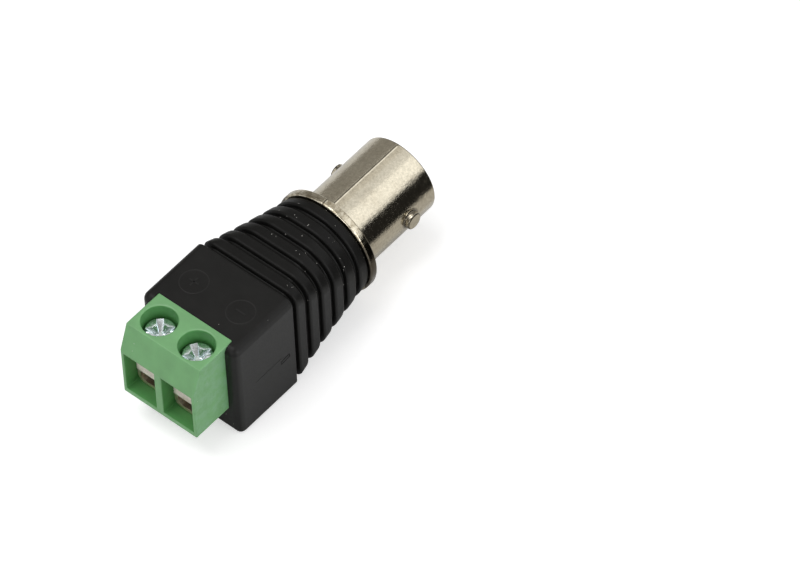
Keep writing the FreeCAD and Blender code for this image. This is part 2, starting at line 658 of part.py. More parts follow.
def make_bead(label, place, radius, length):
    """An eight-sided solder bead along Y, before its neighbours are taken out of it."""
    bead = document.addObject("Part::Prism", f"{label}_bead")
    bead.Polygon = 8
    bead.Placement.Rotation = FreeCAD.Rotation(Vector(1, 0, 0), -90)
    for axis, expression in zip("xyz", place):
        bead.setExpression(f"Placement.Base.{axis}", expression)
    bead.setExpression("Circumradius", radius)
    bead.setExpression("Height", length)
    return bead


BOOT_RUN = f"({RIBS} * Sizes.rib_pitch)"


def boot_section(sketch, fraction, inset):
    """Boot outline at a fraction of the ribbed run: rounded block at 0, full circle at 1."""
    def blend(start, end):
        """A length that runs from its start value to its end value over the ribbed run."""
        return f"({start} + ({end} - {start}) * ({fraction}))"
    collar = "Sizes.collar_radius"
    bend = f"pow({fraction}; 0.75)"
    full = f"(0.99 * {collar})"
    radii = [f"({start} + ({full} - {start}) * {bend} - ({inset}) * ({fraction}))"
             for start in ("Sizes.block_top_round", "Sizes.block_foot_round")]
    half = blend("Sizes.block_half_width", collar)
    top = blend("Sizes.block_top", collar)
    foot = blend("Sizes.axis_height", collar)
    rounded(sketch, f"{half} - {inset}", f"{top} - {inset}", f"-({foot} - {inset})", *radii)


def crest_edges(shape, station):
    """Outer edges of a rib face, without those at the foot of its groove."""
    ring = []
    for n, edge in enumerate(shape.Edges, 1):
        box = edge.optimalBoundingBox(False, False)
        if level(box.YMin, box.YMax, station):
            middle = edge.valueAt((edge.FirstParameter + edge.LastParameter) / 2)
            reach = math.hypot(middle.x, middle.z)
            ring.append((math.atan2(middle.z, middle.x), reach, f"Edge{n}"))
    names = []
    for angle, reach, name in ring:
        beyond = [other for other in ring
                  if other[1] > reach + 0.2 and abs(other[0] - angle) < 0.15]
        if not beyond:
            names.append(name)
    return names


def make_boot():
    """The boot: block with cheeks round the housing, ribbed neck, one bore for what it joins."""
    body = new_body("boot", "0", BOOT_Y, "Sizes.axis_height")
    face = new_sketch(body, "boot_face", "XZ_Plane")
    side = "Sizes.block_half_width"
    rectangle(face, f"-{side}", side, "-Sizes.axis_height", "Sizes.block_top")
    block = feature(body, "Pad", "boot_block", face, Length="Sizes.block_length", Reversed=True)
    half = size("block_half_width")
    top = size("block_top")
    foot = -size("axis_height")
    rear = size("block_length")
    upright = dress(body, "Fillet", "boot_corners", block,
                    lambda box: level(box.YMin, box.YMax, 0) and near(box.XMin, box.XMax),
                    "Sizes.cheek_round")
    upper = dress(body, "Fillet", "boot_top_edges", upright,
                  lambda box: level(box.ZMin, box.ZMax, top) and not near(box.YMin, rear),
                  "Sizes.block_top_round")
    dress(body, "Fillet", "boot_foot_edges", upper,
          lambda box: level(box.ZMin, box.ZMax, foot) and not near(box.YMin, rear),
          "Sizes.block_foot_round")
    seat = new_sketch(body, "housing_seat", "XY_Plane", "Sizes.block_top")
    reach = "(Sizes.housing_width / 2 + Sizes.seat_gap)"
    rectangle(seat, f"-{reach}", reach, "-1", "Sizes.housing_depth - Sizes.housing_reach")
    feature(body, "Pocket", "housing_pocket", seat,
            Length="Sizes.block_top + Sizes.axis_height - Sizes.housing_lift")
    sections = []
    for n in range(RIBS + 1):
        station = new_sketch(body, f"neck_{n}", "XZ_Plane",
                             f"-(Sizes.block_length + {n} * Sizes.rib_pitch)")
        boot_section(station, f"{n} / {RIBS}", "Sizes.groove_depth")
        sections.append(station)
    document.recompute()
    neck = body.newObject("PartDesign::AdditiveLoft", "neck")
    neck.Profile = sections[0]
    neck.Sections = sections[1:]
    neck.Ruled = True
    document.recompute()
    for n in range(RIBS):
        front = f"({n} * Sizes.rib_pitch + Sizes.groove_width)"
        middle = f"(({n + 0.5} * Sizes.rib_pitch + Sizes.groove_width / 2) / {BOOT_RUN})"
        station = new_sketch(body, f"rib_{n}_outline", "XZ_Plane",
                             f"-(Sizes.block_length + {front})")
        boot_section(station, middle, "0")
        feature(body, "Pad", f"rib_{n}", station,
                Length="Sizes.rib_pitch - Sizes.groove_width", Reversed=True)
    ribs = body.Tip
    names = []
    for n in range(RIBS):
        start = rear + n * size("rib_pitch")
        names += crest_edges(ribs.Shape, start + size("groove_width"))
        names += crest_edges(ribs.Shape, start + size("rib_pitch"))
    crests = body.newObject("PartDesign::Chamfer", "rib_crests")
    crests.Base = (ribs, names)
    crests.setExpression("Size", "Sizes.rib_bevel")
    bore = new_sketch(body, "boot_bore", "XZ_Plane", f"-(Sizes.block_length + {BOOT_RUN})")
    circle(bore, "0", "0", "Sizes.spigot_diameter + 2 * Sizes.seat_gap")
    depth = f"Sizes.block_length + {BOOT_RUN} + Sizes.housing_reach - Sizes.housing_depth"
    feature(body, "Pocket", "through_bore", bore, Length=depth, Reversed=True)
    return body


# The assembly

housing = make_housing()
shell = make_shell()
insulator = make_insulator()
contact = make_contact()
tag = make_earth_tag()
cores = {lead: make_core(lead) for lead in LEADS}
sleeves = {lead: make_insulation(lead) for lead in LEADS}
screws = {pole: make_screw(pole, hand) for pole, hand in POLES.items()}
cages = {pole: make_cage(pole, hand) for pole, hand in POLES.items()}
tongues = {pole: make_tongue(pole, hand) for pole, hand in POLES.items()}

BEAD = "Sizes.core_diameter * 0.8"
AT_TAIL = f"{LEAD_START} - Sizes.stripped_end / 2 - Sizes.solder_length / 2"
AT_TAG = f"{LEADS['earth'][2]} + Sizes.solder_length / 4"
AT_CUP = f"{FLANGE_Y} + {CUP_MOUTH} - Sizes.solder_length / 3"
joints = (
    ("solder_plus", (LEADS["signal"][0], AT_TAIL, TAIL_Z), BEAD, "Sizes.solder_length",
     [tongues["plus"], cores["signal"]]),
    ("solder_minus", (LEADS["earth"][0], AT_TAIL, TAIL_Z), BEAD, "Sizes.solder_length",
     [tongues["minus"], cores["earth"]]),
    ("solder_earth", (LEADS["earth"][1], AT_TAG, "Sizes.axis_height"), BEAD,
     "Sizes.stripped_end / 2", [tag, cores["earth"]]),
    ("solder_centre", ("0", AT_CUP, "Sizes.axis_height"), BEAD, "Sizes.solder_length / 3",
     [cores["signal"]]),
)
solders = []
for label, place, radius, length, neighbours in joints:
    solders.append(cut_from(label, make_bead(label, place, radius, length), neighbours))

boot = make_boot()
document.recompute()

parts = [housing, shell, insulator, contact, tag, *cores.values(), *sleeves.values(),
         *screws.values(), *cages.values(), *tongues.values(), *solders, boot]
for item in document.Objects:
    if "Invalid" in item.State or "Error" in item.State:
        raise RuntimeError(f"{item.Label} did not build")
os.makedirs("parts", exist_ok=True)
for part in parts:
    if part.Shape.isNull() or not part.Shape.isValid() or len(part.Shape.Solids) != 1:
        raise RuntimeError(f"{part.Label} is not one sound solid")
    part.Shape.exportStep(f"parts/{part.Label}.step")
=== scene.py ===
import json
import math

import bmesh
import bpy
from mathutils import Matrix, Vector


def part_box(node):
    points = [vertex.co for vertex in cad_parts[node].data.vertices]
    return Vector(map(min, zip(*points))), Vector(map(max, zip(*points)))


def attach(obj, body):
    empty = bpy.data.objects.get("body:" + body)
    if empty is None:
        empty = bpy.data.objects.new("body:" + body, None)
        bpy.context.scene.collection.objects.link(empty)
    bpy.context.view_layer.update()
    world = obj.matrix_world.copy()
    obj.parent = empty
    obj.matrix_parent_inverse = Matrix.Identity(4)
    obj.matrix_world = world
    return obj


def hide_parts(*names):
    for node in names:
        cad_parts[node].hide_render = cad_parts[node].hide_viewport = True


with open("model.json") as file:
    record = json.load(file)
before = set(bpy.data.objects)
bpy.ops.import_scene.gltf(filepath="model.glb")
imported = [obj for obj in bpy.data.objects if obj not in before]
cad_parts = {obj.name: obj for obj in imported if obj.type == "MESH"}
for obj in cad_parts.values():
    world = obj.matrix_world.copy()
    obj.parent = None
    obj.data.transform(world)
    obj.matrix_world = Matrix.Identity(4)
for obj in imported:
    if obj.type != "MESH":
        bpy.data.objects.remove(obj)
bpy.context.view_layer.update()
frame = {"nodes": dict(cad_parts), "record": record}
NODES = frame["nodes"]
BODY = "adapter"
scene = bpy.context.scene

MM = 0.001

# Points closer than this are one point, in a mesh made here and in a packed one
MERGE = 0.001 * MM
PACKED_MERGE = 0.0005 * MM

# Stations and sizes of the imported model, in metres
HOUSING_LOW, HOUSING_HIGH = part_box("terminal_housing")
BOOT_LOW, BOOT_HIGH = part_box("boot")
SHELL_LOW, SHELL_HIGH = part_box("bnc_shell")
AXIS_Z = (SHELL_LOW[2] + SHELL_HIGH[2]) / 2
MOUTH_Y = SHELL_HIGH[1]
FLANGE_Y = BOOT_HIGH[1]
PITCH = 5.08 * MM
CAGE_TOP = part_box("cage_plus")[1][2]
WELL_Y = sum(corner[1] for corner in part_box("screw_plus")) / 2

# Socket shell
FLANGE_R = 6.38 * MM
FLANGE_THICK = 0.98 * MM
ROOT_STEP = 0.30 * MM
BARREL_R = 4.80 * MM
BORE_R = 4.06 * MM
BORE_DEPTH = 8.40 * MM
SPIGOT_R = 4.40 * MM
SPIGOT_LENGTH = 3.00 * MM
TAIL_R = 3.30 * MM
BUSH_R = 2.80 * MM
NOSE_HOLE_R = 2.42 * MM
WEB = 1.00 * MM
EDGE_ROUND = 0.20 * MM
LUG_R = 1.00 * MM
LUG_REACH = 5.45 * MM
LUG_SETBACK = 4.10 * MM
LUG_FOOT = 0.16 * MM
LUG_SUNK = 0.02 * MM
LUG_ROOT = 0.25 * MM
SHELL_STEPS = 128
LUG_STEPS = 48
SEAM_WIDTH = 0.40 * MM
SEAM_CREST = 0.15
SEAM_HEIGHT = 0.06 * MM
SEAM_ROOT = 0.04 * MM

# Terminal housing
WELL_R = 1.95 * MM
ENTRY_HALF = 2.08 * MM
ENTRY_FLOOR = 0.54 * MM
ENTRY_HEIGHT = 5.74 * MM

# Boot
BLOCK_LENGTH = 9.00 * MM
BLOCK_HALF = 6.44 * MM
BLOCK_TOP_ROUND = 0.90 * MM
BLOCK_FOOT_ROUND = 0.55 * MM
CHEEK_ROUND = 0.90 * MM
RIBS = 6
GROOVE_WIDTH = 0.62 * MM
GROOVE_DEPTH = 0.62 * MM
RIB_ROUND = 0.30 * MM
# Corner of a groove's foot: distance from the groove's side, rise above its floor
GROOVE_FOOT = ((0.04 * MM, 0.06 * MM), (0.14 * MM, 0.0))
COLLAR_R = 6.05 * MM
# The section's corners: how soon they round on the way to the collar, how full they end
# there, and the least radius and the least flat beside it
ROUND_ONSET = 0.75
ROUND_SHARE = 0.995
LEAST_ROUND = 0.04 * MM
LEAST_FLAT = 0.01 * MM
SEAT_GAP = 0.02 * MM
CORNER_STEPS = 14
ARC_STEPS = 5
BORE_STEPS = 64
# How far the rooms that are cut out of the boot reach past its faces
CUT_PAST = 1.0 * MM
MARK_R = 1.55 * MM
MARK_SETBACK = 4.66 * MM
MARK_PITCH = 6.36 * MM
MARK_WIRE = 0.16 * MM
MARK_STROKE = (1.25 * MM, 0.17 * MM)
MARK_SIDES = 10
MARK_STEPS = 64

# Mould line on the boot's flanks and outline of the gate mark on the right one, setbacks from
# the boot's front face and tilt in degrees
LINE_Z = 6.36 * MM
LINE_START = 2.80 * MM
LINE_END = 6.80 * MM
LINE_WIDTH = 0.07 * MM
LINE_DEPTH = 0.02 * MM
GATE_Z = 5.70 * MM
GATE_TILT = 8
GATE_SETBACK = 7.38 * MM
GATE_LONG = 1.25 * MM
GATE_HIGH = 0.40 * MM
GATE_GROOVE = 0.12 * MM
GATE_DEPTH = 0.08 * MM

# Clamp screws, with the head's dome from its middle outwards as shares of the head's radius
# and drops below the top
HEAD_HEIGHT = 1.64 * MM
HEAD_DOME = ((0.6, 0.0), (0.90, 0.01 * MM), (0.965, 0.03 * MM), (1.0, 0.09 * MM))
HEAD_BEVEL = 0.10 * MM
SHANK_R = 1.20 * MM
THREAD_PITCH = 0.45 * MM
THREAD_DEPTH = 0.16 * MM
THREAD_FLANK = 0.18 * MM
SCREW_STEPS = 64
# Recesses: length as a share of the head, width, depth, length and width at the foot as
# shares of those at the top, and turn in degrees
RECESSES = (
    (1.04, 0.42 * MM, 0.42 * MM, 1.0, 0.9, 0),
    (0.93, 0.80 * MM, 0.85 * MM, 0.30, 0.45, 0),
    (0.93, 0.80 * MM, 0.85 * MM, 0.30, 0.45, 90),
)
RECESS_EDGE = 0.11 * MM
# Dish in the middle of the recesses: radii at its top and foot as shares of the head's
DISH_R = 0.52
DISH_FOOT_R = 0.24
DISH_DEPTH = 0.60 * MM
DISH_STEPS = 40
SCREW_TURNS = {"plus": 42, "minus": 57}

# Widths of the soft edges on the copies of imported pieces
HOUSING_EDGE = 0.11 * MM
INSULATOR_EDGE = 0.05 * MM
CONTACT_EDGE = 0.03 * MM
CAGE_EDGE = 0.05 * MM
TONGUE_EDGE = 0.04 * MM


def new_object(name, bm):
    """A piece of the object from a finished bmesh."""
    mesh = bpy.data.meshes.new(name)
    bm.to_mesh(mesh)
    bm.free()
    piece = bpy.data.objects.new(name, mesh)
    scene.collection.objects.link(piece)
    return piece


def smooth(piece, degrees):
    """Smooth shading that keeps edges sharper than an angle."""
    mesh = piece.data
    mesh.shade_smooth()
    mesh.set_sharp_from_angle(angle=math.radians(degrees))
    normals = piece.modifiers.new("flats", "WEIGHTED_NORMAL")
    normals.keep_sharp = True
    normals.weight = 80
    baked(piece)


def cutting_block(name, size, centre, turn=None):
    """A block that is cut out of a piece."""
    bm = bmesh.new()
    bmesh.ops.create_cube(bm, size=1)
    bmesh.ops.scale(bm, vec=size, verts=bm.verts)
    if turn:
        bmesh.ops.rotate(bm, verts=bm.verts, matrix=turn)
    bmesh.ops.translate(bm, verts=bm.verts, vec=centre)
    return new_object(name, bm)


def carved(piece, cutters):
    """Takes the cutters' shapes out of a piece, and then the cutters away."""
    for cutter in cutters:
        cut = piece.modifiers.new("cut", "BOOLEAN")
        cut.operation = "DIFFERENCE"
        cut.solver = "EXACT"
        cut.object = cutter
    baked(piece)
    for cutter in cutters:
        bpy.data.objects.remove(cutter)


def baked(piece):
    """Works a piece's modifiers into its mesh."""
    depsgraph = bpy.context.evaluated_depsgraph_get()
    depsgraph.update()
    mesh = bpy.data.meshes.new_from_object(piece.evaluated_get(depsgraph))
    piece.modifiers.clear()
    piece.data = mesh


# Materials

# Scales of the patterns, in cells per metre
CLOUD_SCALE = 420.0
SPECK_SCALE = 2000.0
STREAK_SCALE = 2300.0
PATCH_SCALE = 700.0
PIN_SCALE = 9000.0
MOTTLE_SCALE = 3600.0
WAVER_SCALE = 900.0
STAIN_SCALE = 1300.0
DARK_REFLECTION_SCALE = 1700.0
SCUFF_SCALE = 1100.0
BOOT_GRAIN = 5200.0
HOUSING_GRAIN = 4500.0
SLEEVE_GRAIN = 4000.0
# A speck of dust: where in its cell it is full and where it is gone, and its tone
SPECK_EDGE = (0.05, 0.10)
DUST_TONE = (0.62, 0.6, 0.56)
# How much of a pattern's height shows as relief
RELIEF_STRENGTH = 0.5


def socketed(name, inputs):
    """A node group that gives colour, roughness and height, and its two end nodes."""
    group = bpy.data.node_groups.new(name, "ShaderNodeTree")
    for label, kind, value in inputs:
        socket = group.interface.new_socket(label, in_out="INPUT", socket_type=kind)
        socket.default_value = value
    for label, kind in (("Colour", "NodeSocketColor"), ("Roughness", "NodeSocketFloat"),
                        ("Height", "NodeSocketFloat")):
        group.interface.new_socket(label, in_out="OUTPUT", socket_type=kind)
    return group, group.nodes.new("NodeGroupInput"), group.nodes.new("NodeGroupOutput")


def feed(tree, socket, item):
    """An input socket takes a number, a colour or the link from another socket."""
    if isinstance(item, (int, float)):
        socket.default_value = item
    elif isinstance(item, tuple):
        socket.default_value = (*item, 1)
    else:
        tree.links.new(item, socket)


def calc(tree, operation, *operands):
    """A Math node whose operands are sockets or numbers; gives its result's socket."""
    node = tree.nodes.new("ShaderNodeMath")
    node.operation = operation
    for socket, item in zip(node.inputs, operands):
        feed(tree, socket, item)
    return node.outputs[0]


def together(tree, operation, first, *others):
    """Several values taken together by one operation of two operands."""
    for other in others:
        first = calc(tree, operation, first, other)
    return first


def between(tree, value, low, high):
    """1 where a value lies between two numbers, 0 elsewhere."""
    return calc(tree, "MULTIPLY", calc(tree, "GREATER_THAN", value, low),
                calc(tree, "LESS_THAN", value, high))


def span(tree, first, second):
    """The distance made by two offsets square to each other."""
    squares = [calc(tree, "MULTIPLY", offset, offset) for offset in (first, second)]
    return calc(tree, "SQRT", calc(tree, "ADD", *squares))


def spread(tree, value, low, high, to_low, to_high):
    """A value mapped from one span to another, and held inside it."""
    node = tree.nodes.new("ShaderNodeMapRange")
    items = {"Value": value, "From Min": low, "From Max": high, "To Min": to_low,
             "To Max": to_high}
    for label, item in items.items():
        feed(tree, node.inputs[label], item)
    return node.outputs["Result"]


def blotched(tree, pattern, cut):
    """A noise pattern made into blotches."""
    begins, full, strength = cut
    return spread(tree, pattern, begins, full, 0.0, strength)


def blended(tree, factor, first, second, mode="MIX"):
    """Two colours blended by a factor."""
    node = tree.nodes.new("ShaderNodeMix")
    node.data_type = "RGBA"
    node.blend_type = mode
    colours = [socket for socket in node.inputs if socket.type == "RGBA"]
    for socket, item in ((node.inputs[0], factor), (colours[0], first), (colours[1], second)):
        feed(tree, socket, item)
    return [socket for socket in node.outputs if socket.type == "RGBA"][0]


def noise(tree, place, scale, detail, roughness=0.55):
    """A noise pattern at a place."""
    node = tree.nodes.new("ShaderNodeTexNoise")
    items = {"Vector": place, "Scale": scale, "Detail": detail, "Roughness": roughness}
    for label, item in items.items():
        feed(tree, node.inputs[label], item)
    return node.outputs[0]


def located(tree):
    """A point in the object's own coordinates, and its x, y and z."""
    place = tree.nodes.new("ShaderNodeTexCoord").outputs["Object"]
    axes = tree.nodes.new("ShaderNodeSeparateXYZ")
    tree.links.new(place, axes.inputs[0])
    return place, *axes.outputs


def moulded_group():
    """Moulded plastic: clouded tone, fine grain, and a little dust in pale specks."""
    tree, given, result = socketed(
        "moulded grain",
        (("Colour", "NodeSocketColor", (0.5, 0.5, 0.5, 1)), ("Clouding", "NodeSocketFloat", 0.1),
         ("Grain", "NodeSocketFloat", 7000.0), ("Gloss", "NodeSocketFloat", 0.4),
         ("Dust", "NodeSocketFloat", 0.05)))
    place = tree.nodes.new("ShaderNodeTexCoord").outputs["Object"]
    cloud = noise(tree, place, CLOUD_SCALE, 3.0)
    grain = noise(tree, place, given.outputs["Grain"], 4.0, 0.65)
    darker = calc(tree, "SUBTRACT", 1.0, given.outputs["Clouding"])
    lighter = calc(tree, "ADD", 1.0, given.outputs["Clouding"])
    tone = spread(tree, cloud, 0.3, 0.7, darker, lighter)
    toned = blended(tree, 1.0, given.outputs["Colour"], tone, "MULTIPLY")
    cells = tree.nodes.new("ShaderNodeTexVoronoi")
    cells.inputs["Scale"].default_value = SPECK_SCALE
    tree.links.new(place, cells.inputs["Vector"])
    lottery = tree.nodes.new("ShaderNodeSeparateColor")
    tree.links.new(cells.outputs["Color"], lottery.inputs[0])
    chosen = calc(tree, "LESS_THAN", lottery.outputs[0], given.outputs["Dust"])
    speck = calc(tree, "MULTIPLY", spread(tree, cells.outputs["Distance"], *SPECK_EDGE, 1.0, 0.0),
                 chosen)
    dusted = blended(tree, speck, toned, DUST_TONE)
    rough = calc(tree, "MULTIPLY_ADD", calc(tree, "SUBTRACT", grain, 0.5), 0.22,
                 given.outputs["Gloss"])
    for label, item in (("Colour", dusted), ("Roughness", rough), ("Height", grain)):
        tree.links.new(item, result.inputs[label])
    return tree


def plated_group():
    """Plated metal: drawn-out streaks, hazy patches, mottled tone and pin marks in the plate."""
    tree, given, result = socketed(
        "plated metal",
        (("Colour", "NodeSocketColor", (0.7, 0.7, 0.7, 1)),
         ("Haze", "NodeSocketColor", (0.4, 0.38, 0.33, 1)),
         ("Stretch", "NodeSocketVector", (1.0, 1.0, 1.0)), ("Gloss", "NodeSocketFloat", 0.15),
         ("Patches", "NodeSocketFloat", 0.3)))
    place = tree.nodes.new("ShaderNodeTexCoord").outputs["Object"]
    drawn = tree.nodes.new("ShaderNodeVectorMath")
    drawn.operation = "MULTIPLY"
    tree.links.new(place, drawn.inputs[0])
    tree.links.new(given.outputs["Stretch"], drawn.inputs[1])
    streak = noise(tree, drawn.outputs[0], STREAK_SCALE, 5.0, 0.62)
    patch = noise(tree, place, PATCH_SCALE, 4.0, 0.6)
    pins = noise(tree, place, PIN_SCALE, 2.0)
    mottle = noise(tree, place, MOTTLE_SCALE, 5.0, 0.7)
    amount = calc(tree, "MULTIPLY", spread(tree, patch, 0.45, 0.75, 0.0, 1.0),
                  given.outputs["Patches"])
    hazed = blended(tree, amount, given.outputs["Colour"], given.outputs["Haze"])
    mottled = blended(tree, 1.0, hazed, spread(tree, mottle, 0.3, 0.7, 0.80, 1.16), "MULTIPLY")
    streaked = calc(tree, "ADD", spread(tree, streak, 0.3, 0.7, -0.04, 0.07),
                    given.outputs["Gloss"])
    rough = calc(tree, "MULTIPLY_ADD", amount, 0.2, streaked)
    height = calc(tree, "ADD", streak, calc(tree, "MULTIPLY", pins, 0.4))
    for label, item in (("Colour", mottled), ("Roughness", rough), ("Height", height)):
        tree.links.new(item, result.inputs[label])
    return tree


MOULDED = moulded_group()
PLATED = plated_group()


def shader(name):
    """A new material with its node tree and its principled shader."""
    material = bpy.data.materials.new(name)
    material.use_nodes = True
    tree = material.node_tree
    return material, tree, tree.nodes["Principled BSDF"]


def placed(tree, group, values):
    """A node group in a material, with its own values."""
    node = tree.nodes.new("ShaderNodeGroup")
    node.node_tree = group
    for label, value in values.items():
        node.inputs[label].default_value = value
    return node


def surfaced(tree, principled, node, relief, colour=None):
    """The shader takes a node group's colour, or another, its roughness and its relief."""
    if colour is None:
        colour = node.outputs["Colour"]
    tree.links.new(colour, principled.inputs["Base Color"])
    tree.links.new(node.outputs["Roughness"], principled.inputs["Roughness"])
    bump = tree.nodes.new("ShaderNodeBump")
    bump.inputs["Strength"].default_value = RELIEF_STRENGTH
    bump.inputs["Distance"].default_value = relief
    tree.links.new(node.outputs["Height"], bump.inputs["Height"])
    tree.links.new(bump.outputs[0], principled.inputs["Normal"])


def plastic(name, colour, gloss, clouding, relief):
    """A clean moulded plastic."""
    material, tree, principled = shader(name)
    node = placed(tree, MOULDED, {"Colour": (*colour, 1), "Clouding": clouding,
                                  "Grain": SLEEVE_GRAIN, "Gloss": gloss, "Dust": 0.0})
    surfaced(tree, principled, node, relief)
    return material


def metal(name, colour, haze, gloss, patches, stretch, relief):
    """A plated or bare metal."""
    material, tree, principled = shader(name)
    node = placed(tree, PLATED, {"Colour": (*colour, 1), "Haze": (*haze, 1), "Gloss": gloss,
                                 "Patches": patches, "Stretch": stretch})
    principled.inputs["Metallic"].default_value = 1.0
    surfaced(tree, principled, node, relief)
    return material


# Stretch of a metal's streaks: none, and along the socket's axis
EVEN = (1.0, 1.0, 1.0)
ALONG_Y = (1.0, 0.05, 1.0)

# Tones of the finishes that change over their pieces
NICKEL_TONE = (0.62, 0.57, 0.455)
NICKEL_HAZE = (0.40, 0.35, 0.26)
# Painted shade along the shell's seam and round its lugs, and dark lines at its edges
PAINTED_DARK_TONE = (0.05, 0.04, 0.03)
STAIN_TONE = (0.24, 0.20, 0.13)
BOOT_TONE = (0.0064, 0.0063, 0.0059)
# A lighter tone on the boot's flanks and marks: painted sheen and highlight
SHEEN_TONE = (0.018, 0.018, 0.0175)
GREEN_TONE = (0.125, 0.335, 0.12)
# Darkening of the green inside its wells and entries: painted shade
GREEN_RECESS_SHADE = (0.72, 0.88, 0.72)
SCUFF_TONE = (0.17, 0.37, 0.19)
ZINC_TONE = (0.78, 0.85, 0.88)
ZINC_HAZE = (0.46, 0.46, 0.42)
CAGE_TONE = (0.80, 0.66, 0.52)

# Darkening painted on the shell: painted shade along the seam and round the lugs' feet, dark
# lines round the lugs' ends and the mouth. For each, the distance where it is full, the one
# where it is gone, and its strength. The seam's is measured from its line, a foot's outwards
# and a brink's inwards from the lug's side, and the lip's from the mouth.
SEAM_SHADE = (0.03 * MM, 0.13 * MM, 0.72)
FOOT_SHADE = (0.02 * MM, 0.35 * MM, 0.85)
BRINK_DARKENING = (0.09 * MM, 0.15 * MM, 0.85)
LIP_DARKENING = (0.11 * MM, 0.17 * MM, 0.85)
SEAM_WAVER = 0.08 * MM
# Where it can lie: past a height from the axis for the seam, between two reaches from it for a
# lug's foot and its side, and past one for its end and for the lip
SEAM_ZONE = BARREL_R - 0.5 * MM
FOOT_ZONE = (BORE_R + 0.25 * MM, BARREL_R + 0.2 * MM)
SIDE_ZONE = (BARREL_R + 0.15 * MM, LUG_REACH - 0.15 * MM)
END_ZONE = LUG_REACH - 0.13 * MM
LIP_ZONE = BARREL_R - 0.13 * MM
# Noise values at which a blotchy pattern begins and is full, and its strength
STAIN_CUT = (0.43, 0.57, 1.0)
DARK_REFLECTION_CUT = (0.46, 0.54, 0.8)
SCUFF_CUT = (0.40, 0.62, 0.8)
STAIN_STRENGTH = 0.75


def seam_painted_shade(tree, place, x, rise):
    """Painted shade along the casting's parting line, on its outside alone."""
    full, gone, strength = SEAM_SHADE
    waver = calc(tree, "MULTIPLY", noise(tree, place, WAVER_SCALE, 3.0), SEAM_WAVER)
    off = calc(tree, "ABSOLUTE", calc(tree, "ADD", x, waver))
    outside = calc(tree, "GREATER_THAN", calc(tree, "ABSOLUTE", rise), SEAM_ZONE)
    return calc(tree, "MULTIPLY", spread(tree, off, full, gone, strength, 0.0), outside)


def lug_painted_shade(tree, place, x, y, rise):
    """Painted shadow round a lug's foot, painted dark reflections on its side, a dark brink round
    its end.
    """
    reach = calc(tree, "ABSOLUTE", x)
    from_lug = span(tree, calc(tree, "SUBTRACT", y, MOUTH_Y - LUG_SETBACK), rise)
    # Painted shadow round the foot, and a dark line round the end
    full, gone, strength = FOOT_SHADE
    foot = calc(tree, "MULTIPLY", between(tree, reach, *FOOT_ZONE),
                spread(tree, from_lug, LUG_R + full, LUG_R + gone, strength, 0.0))
    full, gone, strength = BRINK_DARKENING
    brink = calc(tree, "MULTIPLY", calc(tree, "GREATER_THAN", reach, END_ZONE),
                 spread(tree, from_lug, LUG_R - gone, LUG_R - full, 0.0, strength))
    # Painted dark reflections in patches on the side
    blots = blotched(tree, noise(tree, place, DARK_REFLECTION_SCALE, 2.0), DARK_REFLECTION_CUT)
    painted_reflection = calc(tree, "MULTIPLY", between(tree, reach, *SIDE_ZONE), blots)
    return together(tree, "MAXIMUM", foot, brink, painted_reflection)


def lip_dark_line(tree, x, y, rise):
    """A dark line round the outer edge of the socket's mouth."""
    full, gone, strength = LIP_DARKENING
    outer = calc(tree, "GREATER_THAN", span(tree, x, rise), LIP_ZONE)
    return calc(tree, "MULTIPLY", outer, spread(tree, y, MOUTH_Y - gone, MOUTH_Y - full,
                                                0.0, strength))


def flange_stain(tree, place, y):
    """Brownish blotches on the flange and at the foot of the barrel."""
    front = FLANGE_Y + FLANGE_THICK
    near_flange = spread(tree, y, front, front + 2 * ROOT_STEP, STAIN_STRENGTH, 0.0)
    blots = blotched(tree, noise(tree, place, STAIN_SCALE, 5.0, 0.7), STAIN_CUT)
    return calc(tree, "MULTIPLY", blots, near_flange)


def shell_nickel():
    """The shell's bright nickel: stained flange, painted shade on its seam and lugs, dark edge
    lines.
    """
    material, tree, principled = shader("bright nickel")
    node = placed(tree, PLATED, {"Colour": (*NICKEL_TONE, 1), "Haze": (*NICKEL_HAZE, 1),
                                 "Gloss": 0.09, "Patches": 0.4, "Stretch": EVEN})
    place, x, y, z = located(tree)
    rise = calc(tree, "SUBTRACT", z, AXIS_Z)
    stained = blended(tree, flange_stain(tree, place, y), node.outputs["Colour"], STAIN_TONE)
    # Painted shade along the seam and round the lugs, dark lines at the lugs' ends and the mouth
    painted_dark = together(tree, "MAXIMUM", seam_painted_shade(tree, place, x, rise),
                     lug_painted_shade(tree, place, x, y, rise), lip_dark_line(tree, x, y, rise))
    colour = blended(tree, painted_dark, stained, PAINTED_DARK_TONE)
    principled.inputs["Metallic"].default_value = 1.0
    surfaced(tree, principled, node, 0.045 * MM, colour)
    return material


def boot_plastic():
    """The boot's soft black: dusty and less shiny on its ribs, painted sheen on marks and flanks.
    """
    material, tree, principled = shader("black soft plastic")
    node = placed(tree, MOULDED, {"Colour": (*BOOT_TONE, 1), "Clouding": 0.25,
                                  "Grain": BOOT_GRAIN, "Gloss": 0.42})
    _, x, y, z = located(tree)
    ribs = BOOT_LOW[1] + BLOCK_LENGTH
    tree.links.new(spread(tree, y, ribs, FLANGE_Y, 0.05, 0.6), node.inputs["Dust"])
    marks = calc(tree, "GREATER_THAN", z, BOOT_HIGH[2] + 0.004 * MM)
    taper = spread(tree, y, ribs, FLANGE_Y, 0.0, BLOCK_HALF - COLLAR_R)
    reach = calc(tree, "ADD", calc(tree, "ABSOLUTE", x), taper)
    flanks = spread(tree, reach, BLOCK_HALF - 0.25 * MM, BLOCK_HALF - 0.10 * MM, 0.0, 0.85)
    # Painted sheen: the marks and the flanks are lightened
    painted_sheen = calc(tree, "MAXIMUM", calc(tree, "MULTIPLY", marks, 0.6), flanks)
    colour = blended(tree, painted_sheen, node.outputs["Colour"], SHEEN_TONE)
    shine = spread(tree, y, ribs - 0.3 * MM, ribs + 0.3 * MM, 0.19, 0.12)
    tree.links.new(shine, principled.inputs["Specular IOR Level"])
    surfaced(tree, principled, node, 0.012 * MM, colour)
    return material


